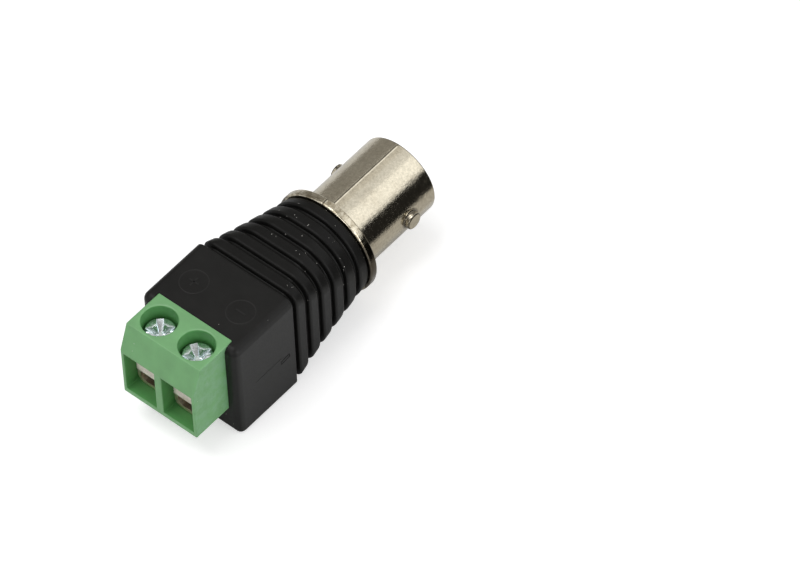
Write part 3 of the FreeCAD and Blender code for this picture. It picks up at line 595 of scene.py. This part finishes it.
def green_plastic():
    """The housing's green: painted shade inside its wells and wire entries, scuffed on its
    flanks.
    """
    material, tree, principled = shader("green plastic")
    node = placed(tree, MOULDED, {"Colour": (*GREEN_TONE, 1), "Clouding": 0.10,
                                  "Grain": HOUSING_GRAIN, "Gloss": 0.48, "Dust": 0.04})
    place, x, y, z = located(tree)
    margin = 0.03 * MM
    front = HOUSING_LOW[1] + 0.12 * MM
    sill = HOUSING_LOW[2] + ENTRY_FLOOR
    reach = calc(tree, "ABSOLUTE", x)
    aside = calc(tree, "SUBTRACT", reach, PITCH / 2)
    in_well = calc(tree, "LESS_THAN", span(tree, aside, calc(tree, "SUBTRACT", y, WELL_Y)),
                   WELL_R + margin)
    in_entry = together(
        tree, "MULTIPLY",
        calc(tree, "LESS_THAN", calc(tree, "ABSOLUTE", aside), ENTRY_HALF + margin),
        between(tree, z, sill - margin, sill + ENTRY_HEIGHT + margin),
        calc(tree, "GREATER_THAN", y, front))
    inside = calc(tree, "MAXIMUM", in_well, in_entry)
    # Painted shade inside the wells and entries
    painted_recess_shade = blended(tree, 1.0, node.outputs["Colour"], GREEN_RECESS_SHADE, "MULTIPLY")
    flank = spread(tree, reach, HOUSING_HIGH[0] - 0.08 * MM, HOUSING_HIGH[0] - 0.02 * MM,
                   0.0, 1.0)
    scuffs = blotched(tree, noise(tree, place, SCUFF_SCALE, 4.0, 0.65), SCUFF_CUT)
    scuffed = blended(tree, calc(tree, "MULTIPLY", flank, scuffs), node.outputs["Colour"],
                      SCUFF_TONE)
    shine = spread(tree, inside, 0.0, 1.0, 0.9, 0.3)
    tree.links.new(shine, principled.inputs["Specular IOR Level"])
    surfaced(tree, principled, node, 0.012 * MM, blended(tree, inside, scuffed, painted_recess_shade))
    return material


def clamp_zinc():
    """Bright zinc on the screws, dulled to a warm brown on the cages below them."""
    material, tree, principled = shader("bright zinc")
    node = placed(tree, PLATED, {"Haze": (*ZINC_HAZE, 1), "Patches": 0.4, "Stretch": EVEN})
    z = located(tree)[3]
    dulled = spread(tree, z, CAGE_TOP, CAGE_TOP + 0.3 * MM, 1.0, 0.0)
    colour = blended(tree, dulled, ZINC_TONE, CAGE_TONE)
    tree.links.new(colour, node.inputs["Colour"])
    tree.links.new(spread(tree, dulled, 0.0, 1.0, 0.20, 0.34), node.inputs["Gloss"])
    principled.inputs["Metallic"].default_value = 1.0
    surfaced(tree, principled, node, 0.005 * MM)
    return material


FINISHES = {
    "black_rubber": boot_plastic(),
    "nickel": shell_nickel(),
    "white_insulator": plastic("white insulator", (0.8, 0.79, 0.74), 0.4, 0.04, 0.01 * MM),
    "gold_contact": metal("gilt contact", (0.83, 0.61, 0.25), (0.6, 0.4, 0.15), 0.2, 0.2,
                          ALONG_Y, 0.004 * MM),
    "tinned_brass": metal("tinned brass", (0.62, 0.58, 0.5), (0.4, 0.33, 0.24), 0.28, 0.5,
                          EVEN, 0.008 * MM),
    "copper_wire": metal("bare copper", (0.78, 0.4, 0.22), (0.45, 0.2, 0.1), 0.3, 0.4,
                         ALONG_Y, 0.006 * MM),
    "red_sleeve": plastic("red sleeve", (0.5, 0.02, 0.02), 0.4, 0.08, 0.01 * MM),
    "black_sleeve": plastic("black sleeve", (0.02, 0.02, 0.02), 0.4, 0.1, 0.01 * MM),
    "solder": metal("solder", (0.6, 0.6, 0.62), (0.4, 0.4, 0.42), 0.25, 0.5, EVEN, 0.015 * MM),
    "green_plastic": green_plastic(),
    "zinc_steel": clamp_zinc(),
}


def finished(piece, body, slot, *nodes):
    """The piece moves with a body, takes a material slot and stands for some nodes."""
    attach(piece, body)
    piece.data.materials.clear()
    piece.data.materials.append(FINISHES[slot])
    if nodes:
        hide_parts(*nodes)


def softened(node, body, slot, width, degrees=30):
    """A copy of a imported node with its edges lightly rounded, to catch the light."""
    bm = bmesh.new()
    bm.from_mesh(NODES[node].data)
    bmesh.ops.remove_doubles(bm, verts=bm.verts, dist=PACKED_MERGE)
    bmesh.ops.dissolve_limit(bm, angle_limit=math.radians(1), verts=bm.verts, edges=bm.edges)
    piece = new_object(f"{node}_finish", bm)
    bevel = piece.modifiers.new("edges", "BEVEL")
    bevel.width = width
    bevel.segments = 2
    bevel.limit_method = "ANGLE"
    bevel.angle_limit = math.radians(degrees)
    bevel.use_clamp_overlap = True
    baked(piece)
    smooth(piece, degrees)
    finished(piece, body, slot, node)


def spun(bm, profile, steps):
    """A full turn about the socket axis of a closed profile of (y, radius) points."""
    verts = [bm.verts.new((0, y, AXIS_Z + radius)) for y, radius in profile]
    edges = [bm.edges.new((verts[n], verts[(n + 1) % len(verts)])) for n in range(len(verts))]
    bmesh.ops.spin(bm, geom=verts + edges, cent=(0, 0, AXIS_Z), axis=(0, 1, 0), dvec=(0, 0, 0),
                   angle=math.tau, steps=steps, use_merge=True)
    bmesh.ops.recalc_face_normals(bm, faces=bm.faces)


def quarter(steps=ARC_STEPS):
    """Steps of a quarter turn, as a share that fades to nothing and one that grows to 1."""
    turns = [step / steps * math.pi / 2 for step in range(steps + 1)]
    return [(1 - math.sin(turn), 1 - math.cos(turn)) for turn in turns]


def rounded_profile(corners):
    """A profile whose listed corners are (y, radius, rounding)."""
    points = []
    for n, (y, radius, rounding) in enumerate(corners):
        here = Vector((y, radius))
        if rounding <= 0:
            points.append(tuple(here))
            continue
        before = (Vector(corners[n - 1][:2]) - here).normalized() * rounding
        after = (Vector(corners[(n + 1) % len(corners)][:2]) - here).normalized() * rounding
        points += [tuple(here + before * fading + after * growing)
                   for fading, growing in quarter()]
    return points


# Socket shell


def make_casting():
    """The nickel-plated casting: flange, barrel and stepped bore."""
    reference = MOUTH_Y - BORE_DEPTH
    front = FLANGE_Y + FLANGE_THICK
    spigot_end = FLANGE_Y - SPIGOT_LENGTH
    corners = [
        (MOUTH_Y, BORE_R, EDGE_ROUND),
        (MOUTH_Y, BARREL_R, EDGE_ROUND),
        (front + ROOT_STEP, BARREL_R, 0),
        (front + ROOT_STEP, BARREL_R + ROOT_STEP, EDGE_ROUND / 2),
        (front, BARREL_R + ROOT_STEP, 0),
        (front, FLANGE_R, EDGE_ROUND),
        (FLANGE_Y, FLANGE_R, EDGE_ROUND),
        (FLANGE_Y, SPIGOT_R, 0),
        (spigot_end, SPIGOT_R, 0),
        (spigot_end, TAIL_R, 0),
        (SHELL_LOW[1], TAIL_R, 0),
        (SHELL_LOW[1], BUSH_R, 0),
        (reference - WEB, BUSH_R, 0),
        (reference - WEB, NOSE_HOLE_R, 0),
        (reference, NOSE_HOLE_R, 0),
        (reference, BORE_R, 0),
    ]
    bm = bmesh.new()
    spun(bm, rounded_profile(corners), SHELL_STEPS)
    shell = new_object("shell_casting", bm)
    smooth(shell, 32)
    finished(shell, BODY, "nickel", "bnc_shell")


def make_lug(name, side):
    """A bayonet lug with a rounded end and a flared foot, on one side of the barrel."""
    y = MOUTH_Y - LUG_SETBACK
    root = BARREL_R - LUG_ROOT
    rim = [(LUG_R - EDGE_ROUND * fading, LUG_REACH - EDGE_ROUND * growing)
           for fading, growing in quarter()]
    flare = [(LUG_R + LUG_FOOT * growing, BARREL_R + LUG_FOOT * fading - LUG_SUNK)
             for fading, growing in quarter()]
    outline = [(0, LUG_REACH), *rim, *flare, (LUG_R + LUG_FOOT, root), (0, root)]
    bm = bmesh.new()
    verts = [bm.verts.new((side * reach, y, AXIS_Z + radius)) for radius, reach in outline]
    edges = [bm.edges.new(pair) for pair in zip(verts, verts[1:])]
    bmesh.ops.spin(bm, geom=verts + edges, cent=(0, y, AXIS_Z), axis=(1, 0, 0), dvec=(0, 0, 0),
                   angle=math.tau, steps=LUG_STEPS, use_merge=True)
    bmesh.ops.remove_doubles(bm, verts=bm.verts, dist=MERGE)
    bmesh.ops.recalc_face_normals(bm, faces=bm.faces)
    lug = new_object(name, bm)
    smooth(lug, 40)
    finished(lug, BODY, "nickel")


def make_seams():
    """The casting's parting line: a low ridge along the barrel and over the flange's rim."""
    stretches = (
        ("barrel", FLANGE_Y + FLANGE_THICK + ROOT_STEP, MOUTH_Y - 2 * EDGE_ROUND, BARREL_R),
        ("root", FLANGE_Y + FLANGE_THICK, FLANGE_Y + FLANGE_THICK + ROOT_STEP,
         BARREL_R + ROOT_STEP),
        ("flange", FLANGE_Y + EDGE_ROUND, FLANGE_Y + FLANGE_THICK - EDGE_ROUND, FLANGE_R),
    )
    for place, start, end, radius in stretches:
        for side, hand in (("top", 1), ("foot", -1)):
            bm = bmesh.new()
            bmesh.ops.create_cube(bm, size=1)
            low, high = radius - SEAM_ROOT, radius + SEAM_HEIGHT
            bmesh.ops.scale(bm, vec=(SEAM_WIDTH, end - start, high - low), verts=bm.verts)
            bmesh.ops.translate(bm, verts=bm.verts,
                                vec=(0, (start + end) / 2, AXIS_Z + hand * (low + high) / 2))
            crest = [vert for vert in bm.verts
                     if abs(vert.co.z - AXIS_Z) > (low + high) / 2]
            bmesh.ops.scale(bm, vec=(SEAM_CREST, 1, 1), verts=crest)
            ridge = new_object(f"seam_{place}_{side}", bm)
            smooth(ridge, 40)
            finished(ridge, BODY, "nickel")


# Boot


def section(fraction, inset):
    """Half width, top, foot and corner radii of the boot at a fraction of the ribbed run."""
    bend = fraction ** ROUND_ONSET
    half = BLOCK_HALF + (COLLAR_R - BLOCK_HALF) * fraction
    block_top = BOOT_HIGH[2] - AXIS_Z
    top = block_top + (COLLAR_R - block_top) * fraction
    foot = AXIS_Z + (COLLAR_R - AXIS_Z) * fraction
    full = ROUND_SHARE * COLLAR_R
    rounds = [start + (full - start) * bend - inset * max(fraction, 0.0)
              for start in (BLOCK_TOP_ROUND, BLOCK_FOOT_ROUND)]
    return half - inset, top - inset, foot - inset, rounds


def place_ring(ring, y, fraction, inset, shrink):
    """Moves a ring of vertices onto the boot's section at one station."""
    half, top, foot, rounds = section(fraction, inset)
    per_corner = len(ring) // 4
    for n, vert in enumerate(ring):
        corner, step = divmod(n, per_corner)
        right = corner in (0, 3)
        upper = corner in (0, 1)
        radius = max(rounds[0 if upper else 1] - shrink, LEAST_ROUND)
        radius = min(radius, half - LEAST_FLAT)
        turn = (corner + step / (per_corner - 1)) * math.pi / 2
        centre_x = (half - radius) * (1 if right else -1)
        centre_z = (top - radius) if upper else -(foot - radius)
        vert.co = (centre_x + radius * math.cos(turn), y,
                   AXIS_Z + centre_z + radius * math.sin(turn))


def grown(bm, ring):
    """A new ring of vertices, extruded from the last one."""
    edges = [bm.edges.get(pair) for pair in zip(ring, ring[1:] + ring[:1])]
    made = bmesh.ops.extrude_edge_only(bm, edges=edges)["geom"]
    fresh = {tuple(item.co): item for item in made if isinstance(item, bmesh.types.BMVert)}
    return [fresh[tuple(vert.co)] for vert in ring]


def boot_stations():
    """The boot's length profile: (y, inset, shrink of the corner radius)."""
    front = BOOT_LOW[1]
    rear = front + BLOCK_LENGTH
    pitch = (FLANGE_Y - rear) / RIBS
    soft = RIB_ROUND / 2
    stations = [(front + CHEEK_ROUND * growing, CHEEK_ROUND * fading, CHEEK_ROUND * fading)
                for fading, growing in quarter(ARC_STEPS + 1)]
    stations += [(rear - soft * fading, soft * growing, 0) for fading, growing in quarter()]
    for n in range(RIBS):
        start = rear + n * pitch
        crest = start + GROOVE_WIDTH
        end = start + pitch
        stations += [(start + off, GROOVE_DEPTH - lift, 0) for off, lift in GROOVE_FOOT]
        stations += [(crest - off, GROOVE_DEPTH - lift, 0) for off, lift in GROOVE_FOOT[::-1]]
        stations += [(crest + RIB_ROUND * growing, RIB_ROUND * fading, 0)
                     for fading, growing in quarter()]
        stations += [(end - RIB_ROUND * fading, RIB_ROUND * growing, 0)
                     for fading, growing in quarter()]
    return stations


def boot_cutters():
    """What is cut out of the boot: room for housing and shell, mould lines and gate mark."""
    low = Vector((HOUSING_LOW[0] - SEAT_GAP, BOOT_LOW[1] - CUT_PAST, HOUSING_LOW[2] - SEAT_GAP))
    high = Vector((HOUSING_HIGH[0] + SEAT_GAP, HOUSING_HIGH[1], BOOT_HIGH[2] + CUT_PAST))
    cutters = [cutting_block("housing_room", high - low, (low + high) / 2)]
    bore = bmesh.new()
    length = FLANGE_Y - HOUSING_HIGH[1] + 2 * CUT_PAST
    bmesh.ops.create_cone(bore, cap_ends=True, segments=BORE_STEPS, radius1=SPIGOT_R + SEAT_GAP,
                          radius2=SPIGOT_R + SEAT_GAP, depth=length)
    bmesh.ops.rotate(bore, verts=bore.verts, matrix=Matrix.Rotation(math.pi / 2, 3, "X"))
    bmesh.ops.translate(bore, verts=bore.verts,
                        vec=(0, (FLANGE_Y + HOUSING_HIGH[1]) / 2, AXIS_Z))
    cutters.append(new_object("shell_room", bore))
    middle = (LINE_START + LINE_END) / 2
    for side in (-1, 1):
        cutters.append(cutting_block(
            "line", (2 * LINE_DEPTH, LINE_END - LINE_START, LINE_WIDTH),
            (side * BLOCK_HALF, BOOT_LOW[1] + middle, LINE_Z)))
    tilt = Matrix.Rotation(math.radians(GATE_TILT), 3, "X")
    gate = Vector((BLOCK_HALF, BOOT_LOW[1] + GATE_SETBACK, GATE_Z))
    for along, up, long, high in ((0, 0.5, GATE_LONG + GATE_GROOVE, GATE_GROOVE),
                                  (0, -0.5, GATE_LONG + GATE_GROOVE, GATE_GROOVE),
                                  (0.5, 0, GATE_GROOVE, GATE_HIGH),
                                  (-0.5, 0, GATE_GROOVE, GATE_HIGH)):
        shift = tilt @ Vector((0, along * GATE_LONG, up * GATE_HIGH))
        cutters.append(cutting_block("gate", (2 * GATE_DEPTH, long, high), gate + shift, tilt))
    return cutters


def make_boot():
    """The black boot: rounded block and six ribs, hollow for the housing and the shell."""
    bm = bmesh.new()
    made = bmesh.ops.create_circle(bm, cap_ends=False, radius=1, segments=4 * (CORNER_STEPS + 1))
    rear = BOOT_LOW[1] + BLOCK_LENGTH
    run = FLANGE_Y - rear
    rings = [made["verts"]]
    for n, (y, inset, shrink) in enumerate(boot_stations()):
        if n:
            rings.append(grown(bm, rings[-1]))
        fraction = min(max((y - rear) / run, 0), 1)
        place_ring(rings[-1], y, fraction, inset, shrink)
    for end in (rings[0], rings[-1]):
        bm.faces.new(end)
    bmesh.ops.recalc_face_normals(bm, faces=bm.faces)
    boot = new_object("boot_moulding", bm)
    carved(boot, boot_cutters())
    smooth(boot, 38)
    finished(boot, BODY, "black_rubber", "boot")


def make_marks():
    """The pole marks on the boot: a plus and a minus, each in a ring, raised very little."""
    top = HOUSING_HIGH[2]
    y = BOOT_LOW[1] + MARK_SETBACK
    sunk = top - MARK_WIRE
    for pole, hand in (("plus", -1), ("minus", 1)):
        x = hand * MARK_PITCH / 2
        bm = bmesh.new()
        made = bmesh.ops.create_circle(bm, cap_ends=False, radius=MARK_WIRE, segments=MARK_SIDES)
        bmesh.ops.rotate(bm, verts=made["verts"], matrix=Matrix.Rotation(math.pi / 2, 3, "X"))
        bmesh.ops.translate(bm, verts=made["verts"], vec=(x + MARK_R, y, sunk))
        bmesh.ops.spin(bm, geom=bm.verts[:] + bm.edges[:], cent=(x, y, sunk), axis=(0, 0, 1),
                       dvec=(0, 0, 0), angle=math.tau, steps=MARK_STEPS, use_merge=True)
        strokes = [MARK_STROKE]
        if pole == "plus":
            strokes.append(MARK_STROKE[::-1])
        for wide, long in strokes:
            made = bmesh.ops.create_cube(bm, size=1)["verts"]
            bmesh.ops.scale(bm, vec=(wide, long, 2 * MARK_WIRE), verts=made)
            bmesh.ops.translate(bm, verts=made, vec=(x, y, sunk))
        bmesh.ops.recalc_face_normals(bm, faces=bm.faces)
        mark = new_object(f"mark_{pole}", bm)
        smooth(mark, 40)
        finished(mark, BODY, "black_rubber")


# Clamp screws


def turned_upright(bm, profile, centre, steps):
    """A full turn about an upright axis of an open profile of (radius, z) points."""
    verts = [bm.verts.new((centre[0] + radius, centre[1], z)) for radius, z in profile]
    edges = [bm.edges.new(pair) for pair in zip(verts, verts[1:])]
    bmesh.ops.spin(bm, geom=verts + edges, cent=(*centre, 0), axis=(0, 0, 1), dvec=(0, 0, 0),
                   angle=math.tau, steps=steps, use_merge=True)
    bmesh.ops.remove_doubles(bm, verts=bm.verts, dist=MERGE)
    bmesh.ops.recalc_face_normals(bm, faces=bm.faces)


def screw_profile(radius, top, foot):
    """The outline of a clamp screw, from the middle of its head to the middle of its foot."""
    neck = top - HEAD_HEIGHT
    core = SHANK_R - THREAD_DEPTH
    profile = [(0, top)]
    profile += [(radius * share, top - drop) for share, drop in HEAD_DOME]
    profile += [(radius, neck + HEAD_BEVEL), (radius - HEAD_BEVEL, neck), (SHANK_R, neck)]
    for n in range(int((neck - foot) / THREAD_PITCH)):
        crest = neck - (n + 0.5) * THREAD_PITCH
        profile += [(core, crest + THREAD_FLANK), (SHANK_R, crest), (core, crest - THREAD_FLANK)]
    return profile + [(core, foot), (0, foot)]


def screw_cutters(pole, centre, radius, top):
    """What is cut out of a screw's head: slot, cross and dish."""
    cutters = []
    for n, (long, wide, deep, foot_long, foot_wide, turn) in enumerate(RECESSES):
        cut = bmesh.new()
        made = bmesh.ops.create_cube(cut, size=1)["verts"]
        bmesh.ops.scale(cut, vec=(2 * radius * long, wide, 2 * deep), verts=made)
        foot = [vert for vert in made if vert.co.z < 0]
        brow = [vert for vert in made if vert.co.z > 0]
        bmesh.ops.scale(cut, vec=(foot_long, foot_wide, 1), verts=foot)
        bmesh.ops.scale(cut, vec=(2 - foot_long, 2 - foot_wide, 1), verts=brow)
        bmesh.ops.rotate(cut, verts=made, matrix=Matrix.Rotation(
            math.radians(SCREW_TURNS[pole] + turn), 3, "Z"))
        bmesh.ops.translate(cut, verts=made, vec=(*centre, top))
        cutters.append(new_object(f"recess_{n}", cut))
    dish = bmesh.new()
    bmesh.ops.create_cone(dish, cap_ends=True, segments=DISH_STEPS, radius1=radius * DISH_FOOT_R,
                          radius2=radius * (2 * DISH_R - DISH_FOOT_R), depth=2 * DISH_DEPTH)
    bmesh.ops.translate(dish, verts=dish.verts, vec=(*centre, top))
    return cutters + [new_object("dish", dish)]


def make_screw(pole):
    """A clamp screw: low dome with a slot and a cross recess, ringed thread below."""
    low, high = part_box(f"screw_{pole}")
    centre = ((low[0] + high[0]) / 2, (low[1] + high[1]) / 2)
    radius = (high[0] - low[0]) / 2
    bm = bmesh.new()
    turned_upright(bm, screw_profile(radius, high[2], low[2]), centre, SCREW_STEPS)
    screw = new_object(f"screw_{pole}_finish", bm)
    carved(screw, screw_cutters(pole, centre, radius, high[2]))
    edges = screw.modifiers.new("edges", "BEVEL")
    edges.width = RECESS_EDGE
    edges.segments = 3
    edges.limit_method = "ANGLE"
    edges.angle_limit = math.radians(35)
    baked(screw)
    smooth(screw, 40)
    finished(screw, f"screw_{pole}", "zinc_steel", f"screw_{pole}")


def paint():
    """Every piece and node gets the finish of its material slot."""
    slots = {entry["node"]: entry["material_slot"] for entry in frame["record"]["subparts"]}
    for name, node in NODES.items():
        node.data.materials.clear()
        node.data.materials.append(FINISHES[slots[name]])


# Room, lamps and camera


# Light levels: the world for diffuse light, the floor's own tone, and the floor's lift towards
# white for the camera and for reflections. The floor's size is in metres.
SKY = 0.42
FLOOR_TONE = 0.72
CAMERA_LIFT = 0.50
MIRROR_LIFT = 0.05
FLOOR_SIZE = 2.0

# Glowing grey cards along the object, which only its reflections show: nearest and furthest y,
# foot and head in x and z, and tone, which leans a little to warm
CARD_WARMTH = (1.0, 0.97, 0.92)
CARDS = {
    "card_left": (-0.25, 0.75, (-0.30, 0.0), (-0.30, 0.54), 0.34),
    "card_top": (-0.25, 0.75, (-0.29, 0.606), (-0.12, 0.606), 0.84),
    "card_right": (0.008, 0.050, (0.018, 0.0), (0.018, 0.0168), 0.02),
    "card_low": (0.008, 0.050, (0.018, 0.0005), (0.0062, 0.0005), 0.55),
    "card_camera": (-0.25, -0.01, (0.045, 0.275), (0.185, 0.205), 0.36),
}

# Lamps: direction in azimuth and elevation, distance, width, length and power
LAMPS = {
    "band": (131.4, 45.4, 0.60, 0.40, 0.50, 0.29),
    "front": (4, 22, 0.70, 0.30, 0.30, 1.3),
    "over_front": (-50, 70, 0.70, 0.40, 0.40, 2.3),
    "side": (88, 24, 0.70, 0.40, 0.40, 1.5),
}


def outward(azimuth, elevation):
    """The direction from the object towards an azimuth and an elevation."""
    a, e = math.radians(azimuth), math.radians(elevation)
    return Vector((math.sin(a) * math.cos(e), -math.cos(a) * math.cos(e), math.sin(e)))


def facing(away):
    """A turn that points a panel's back away from the barrel, with its length along it."""
    back = Vector((away.x, 0, away.z)).normalized()
    along = Vector((0, 1, 0))
    return Matrix((along.cross(back), along, back)).transposed()


def make_cards():
    """Glowing grey cards beside the object, for the dark bands in its plated parts' reflections.
    """
    for name, (near, far, foot, head, tone) in CARDS.items():
        bm = bmesh.new()
        ends = [bm.verts.new((foot[0], y, foot[1])) for y in (near, far)]
        edge = bm.edges.new(ends)
        made = bmesh.ops.extrude_edge_only(bm, edges=[edge])["geom"]
        fresh = [item for item in made if isinstance(item, bmesh.types.BMVert)]
        bmesh.ops.translate(bm, verts=fresh, vec=(head[0] - foot[0], 0, head[1] - foot[1]))
        card = new_object(name, bm)
        material, _, principled = shader(name)
        principled.inputs["Base Color"].default_value = (0, 0, 0, 1)
        principled.inputs["Specular IOR Level"].default_value = 0.0
        tint = [tone * share for share in CARD_WARMTH]
        principled.inputs["Emission Color"].default_value = (*tint, 1)
        principled.inputs["Emission Strength"].default_value = 1.0
        card.data.materials.append(material)
        card.visible_camera = False
        card.visible_diffuse = False
        card.visible_shadow = False


def make_room():
    """A pale floor and a backdrop of the same white, which reflections show too."""
    bm = bmesh.new()
    bmesh.ops.create_grid(bm, x_segments=1, y_segments=1, size=FLOOR_SIZE)
    floor = new_object("floor", bm)
    material, tree, principled = shader("pale floor")
    principled.inputs["Base Color"].default_value = (FLOOR_TONE, FLOOR_TONE, FLOOR_TONE, 1)
    principled.inputs["Roughness"].default_value = 0.9
    principled.inputs["Specular IOR Level"].default_value = 0.1
    principled.inputs["Emission Color"].default_value = (1, 1, 1, 1)
    rays = tree.nodes.new("ShaderNodeLightPath").outputs
    mirrored = calc(tree, "MAXIMUM", rays["Is Glossy Ray"], rays["Is Transmission Ray"])
    lift = calc(tree, "ADD", calc(tree, "MULTIPLY", rays["Is Camera Ray"], CAMERA_LIFT),
                calc(tree, "MULTIPLY", mirrored, MIRROR_LIFT))
    tree.links.new(lift, principled.inputs["Emission Strength"])
    floor.data.materials.append(material)
    world = bpy.data.worlds.new("studio")
    scene.world = world
    world.use_nodes = True
    tree = world.node_tree
    background = tree.nodes["Background"]
    background.inputs["Color"].default_value = (1, 1, 1, 1)
    rays = tree.nodes.new("ShaderNodeLightPath").outputs
    mirrored = calc(tree, "MAXIMUM", rays["Is Glossy Ray"], rays["Is Transmission Ray"])
    seen = calc(tree, "MAXIMUM", rays["Is Camera Ray"], mirrored)
    tree.links.new(spread(tree, seen, 0.0, 1.0, SKY, 1.0), background.inputs["Strength"])


def make_lamps():
    """Soft panels of light, each with its long side along the barrel."""
    for name, (azimuth, elevation, distance, wide, long, power) in LAMPS.items():
        light = bpy.data.lights.new(name, "AREA")
        light.shape = "RECTANGLE"
        light.size = wide
        light.size_y = long
        light.energy = power
        holder = bpy.data.objects.new(name, light)
        scene.collection.objects.link(holder)
        away = outward(azimuth, elevation)
        holder.location = Vector((0, 0, AXIS_Z)) + away * distance
        holder.rotation_euler = facing(away).to_euler()


# Camera: a long lens, aimed so that the adapter falls where the photograph has it
CAMERA_AZIMUTH = 42.299
CAMERA_ELEVATION = 51.095
CAMERA_ROLL = -2.665
PHOTO_WIDTH = 800
PHOTO_HEIGHT = 562
SENSOR = 36.0
LENS = 290.89
PIXELS_PER_MM = 9.646
AIM_Y = -2.346 * MM
AIM_PIXEL = (266.509, 297.449)
CLIP_NEAR, CLIP_FAR = 0.01, 20


def make_camera():
    """The photograph's camera."""
    roll = math.radians(CAMERA_ROLL)
    back = outward(CAMERA_AZIMUTH, CAMERA_ELEVATION)
    level = Vector((0, 0, 1)).cross(back).normalized()
    upright = back.cross(level)
    right = level * math.cos(roll) + upright * math.sin(roll)
    up = upright * math.cos(roll) - level * math.sin(roll)
    focal = LENS / SENSOR * PHOTO_WIDTH
    distance = focal / PIXELS_PER_MM * MM
    across = (AIM_PIXEL[0] - PHOTO_WIDTH / 2) / focal * distance
    above = -(AIM_PIXEL[1] - PHOTO_HEIGHT / 2) / focal * distance
    data = bpy.data.cameras.new("camera")
    data.lens = LENS
    data.sensor_width = SENSOR
    data.sensor_fit = "HORIZONTAL"
    data.clip_start = CLIP_NEAR
    data.clip_end = CLIP_FAR
    camera = bpy.data.objects.new("camera", data)
    scene.collection.objects.link(camera)
    aim = Vector((0, AIM_Y, AXIS_Z))
    axes = Matrix((right, up, back)).transposed().to_4x4()
    place = aim + back * distance - right * across - up * above
    camera.matrix_world = Matrix.Translation(place) @ axes
    scene.camera = camera


make_casting()
make_lug("lug_left", -1)
make_lug("lug_right", 1)
make_seams()
make_boot()
make_marks()
softened("terminal_housing", BODY, "green_plastic", HOUSING_EDGE)
softened("insulator", BODY, "white_insulator", INSULATOR_EDGE)
softened("centre_contact", BODY, "gold_contact", CONTACT_EDGE)
for pole in ("plus", "minus"):
    make_screw(pole)
    softened(f"cage_{pole}", f"cage_{pole}", "zinc_steel", CAGE_EDGE)
    softened(f"tongue_{pole}", BODY, "tinned_brass", TONGUE_EDGE)
paint()
make_room()
make_cards()
make_lamps()
make_camera()
scene.view_settings.view_transform = "Standard"
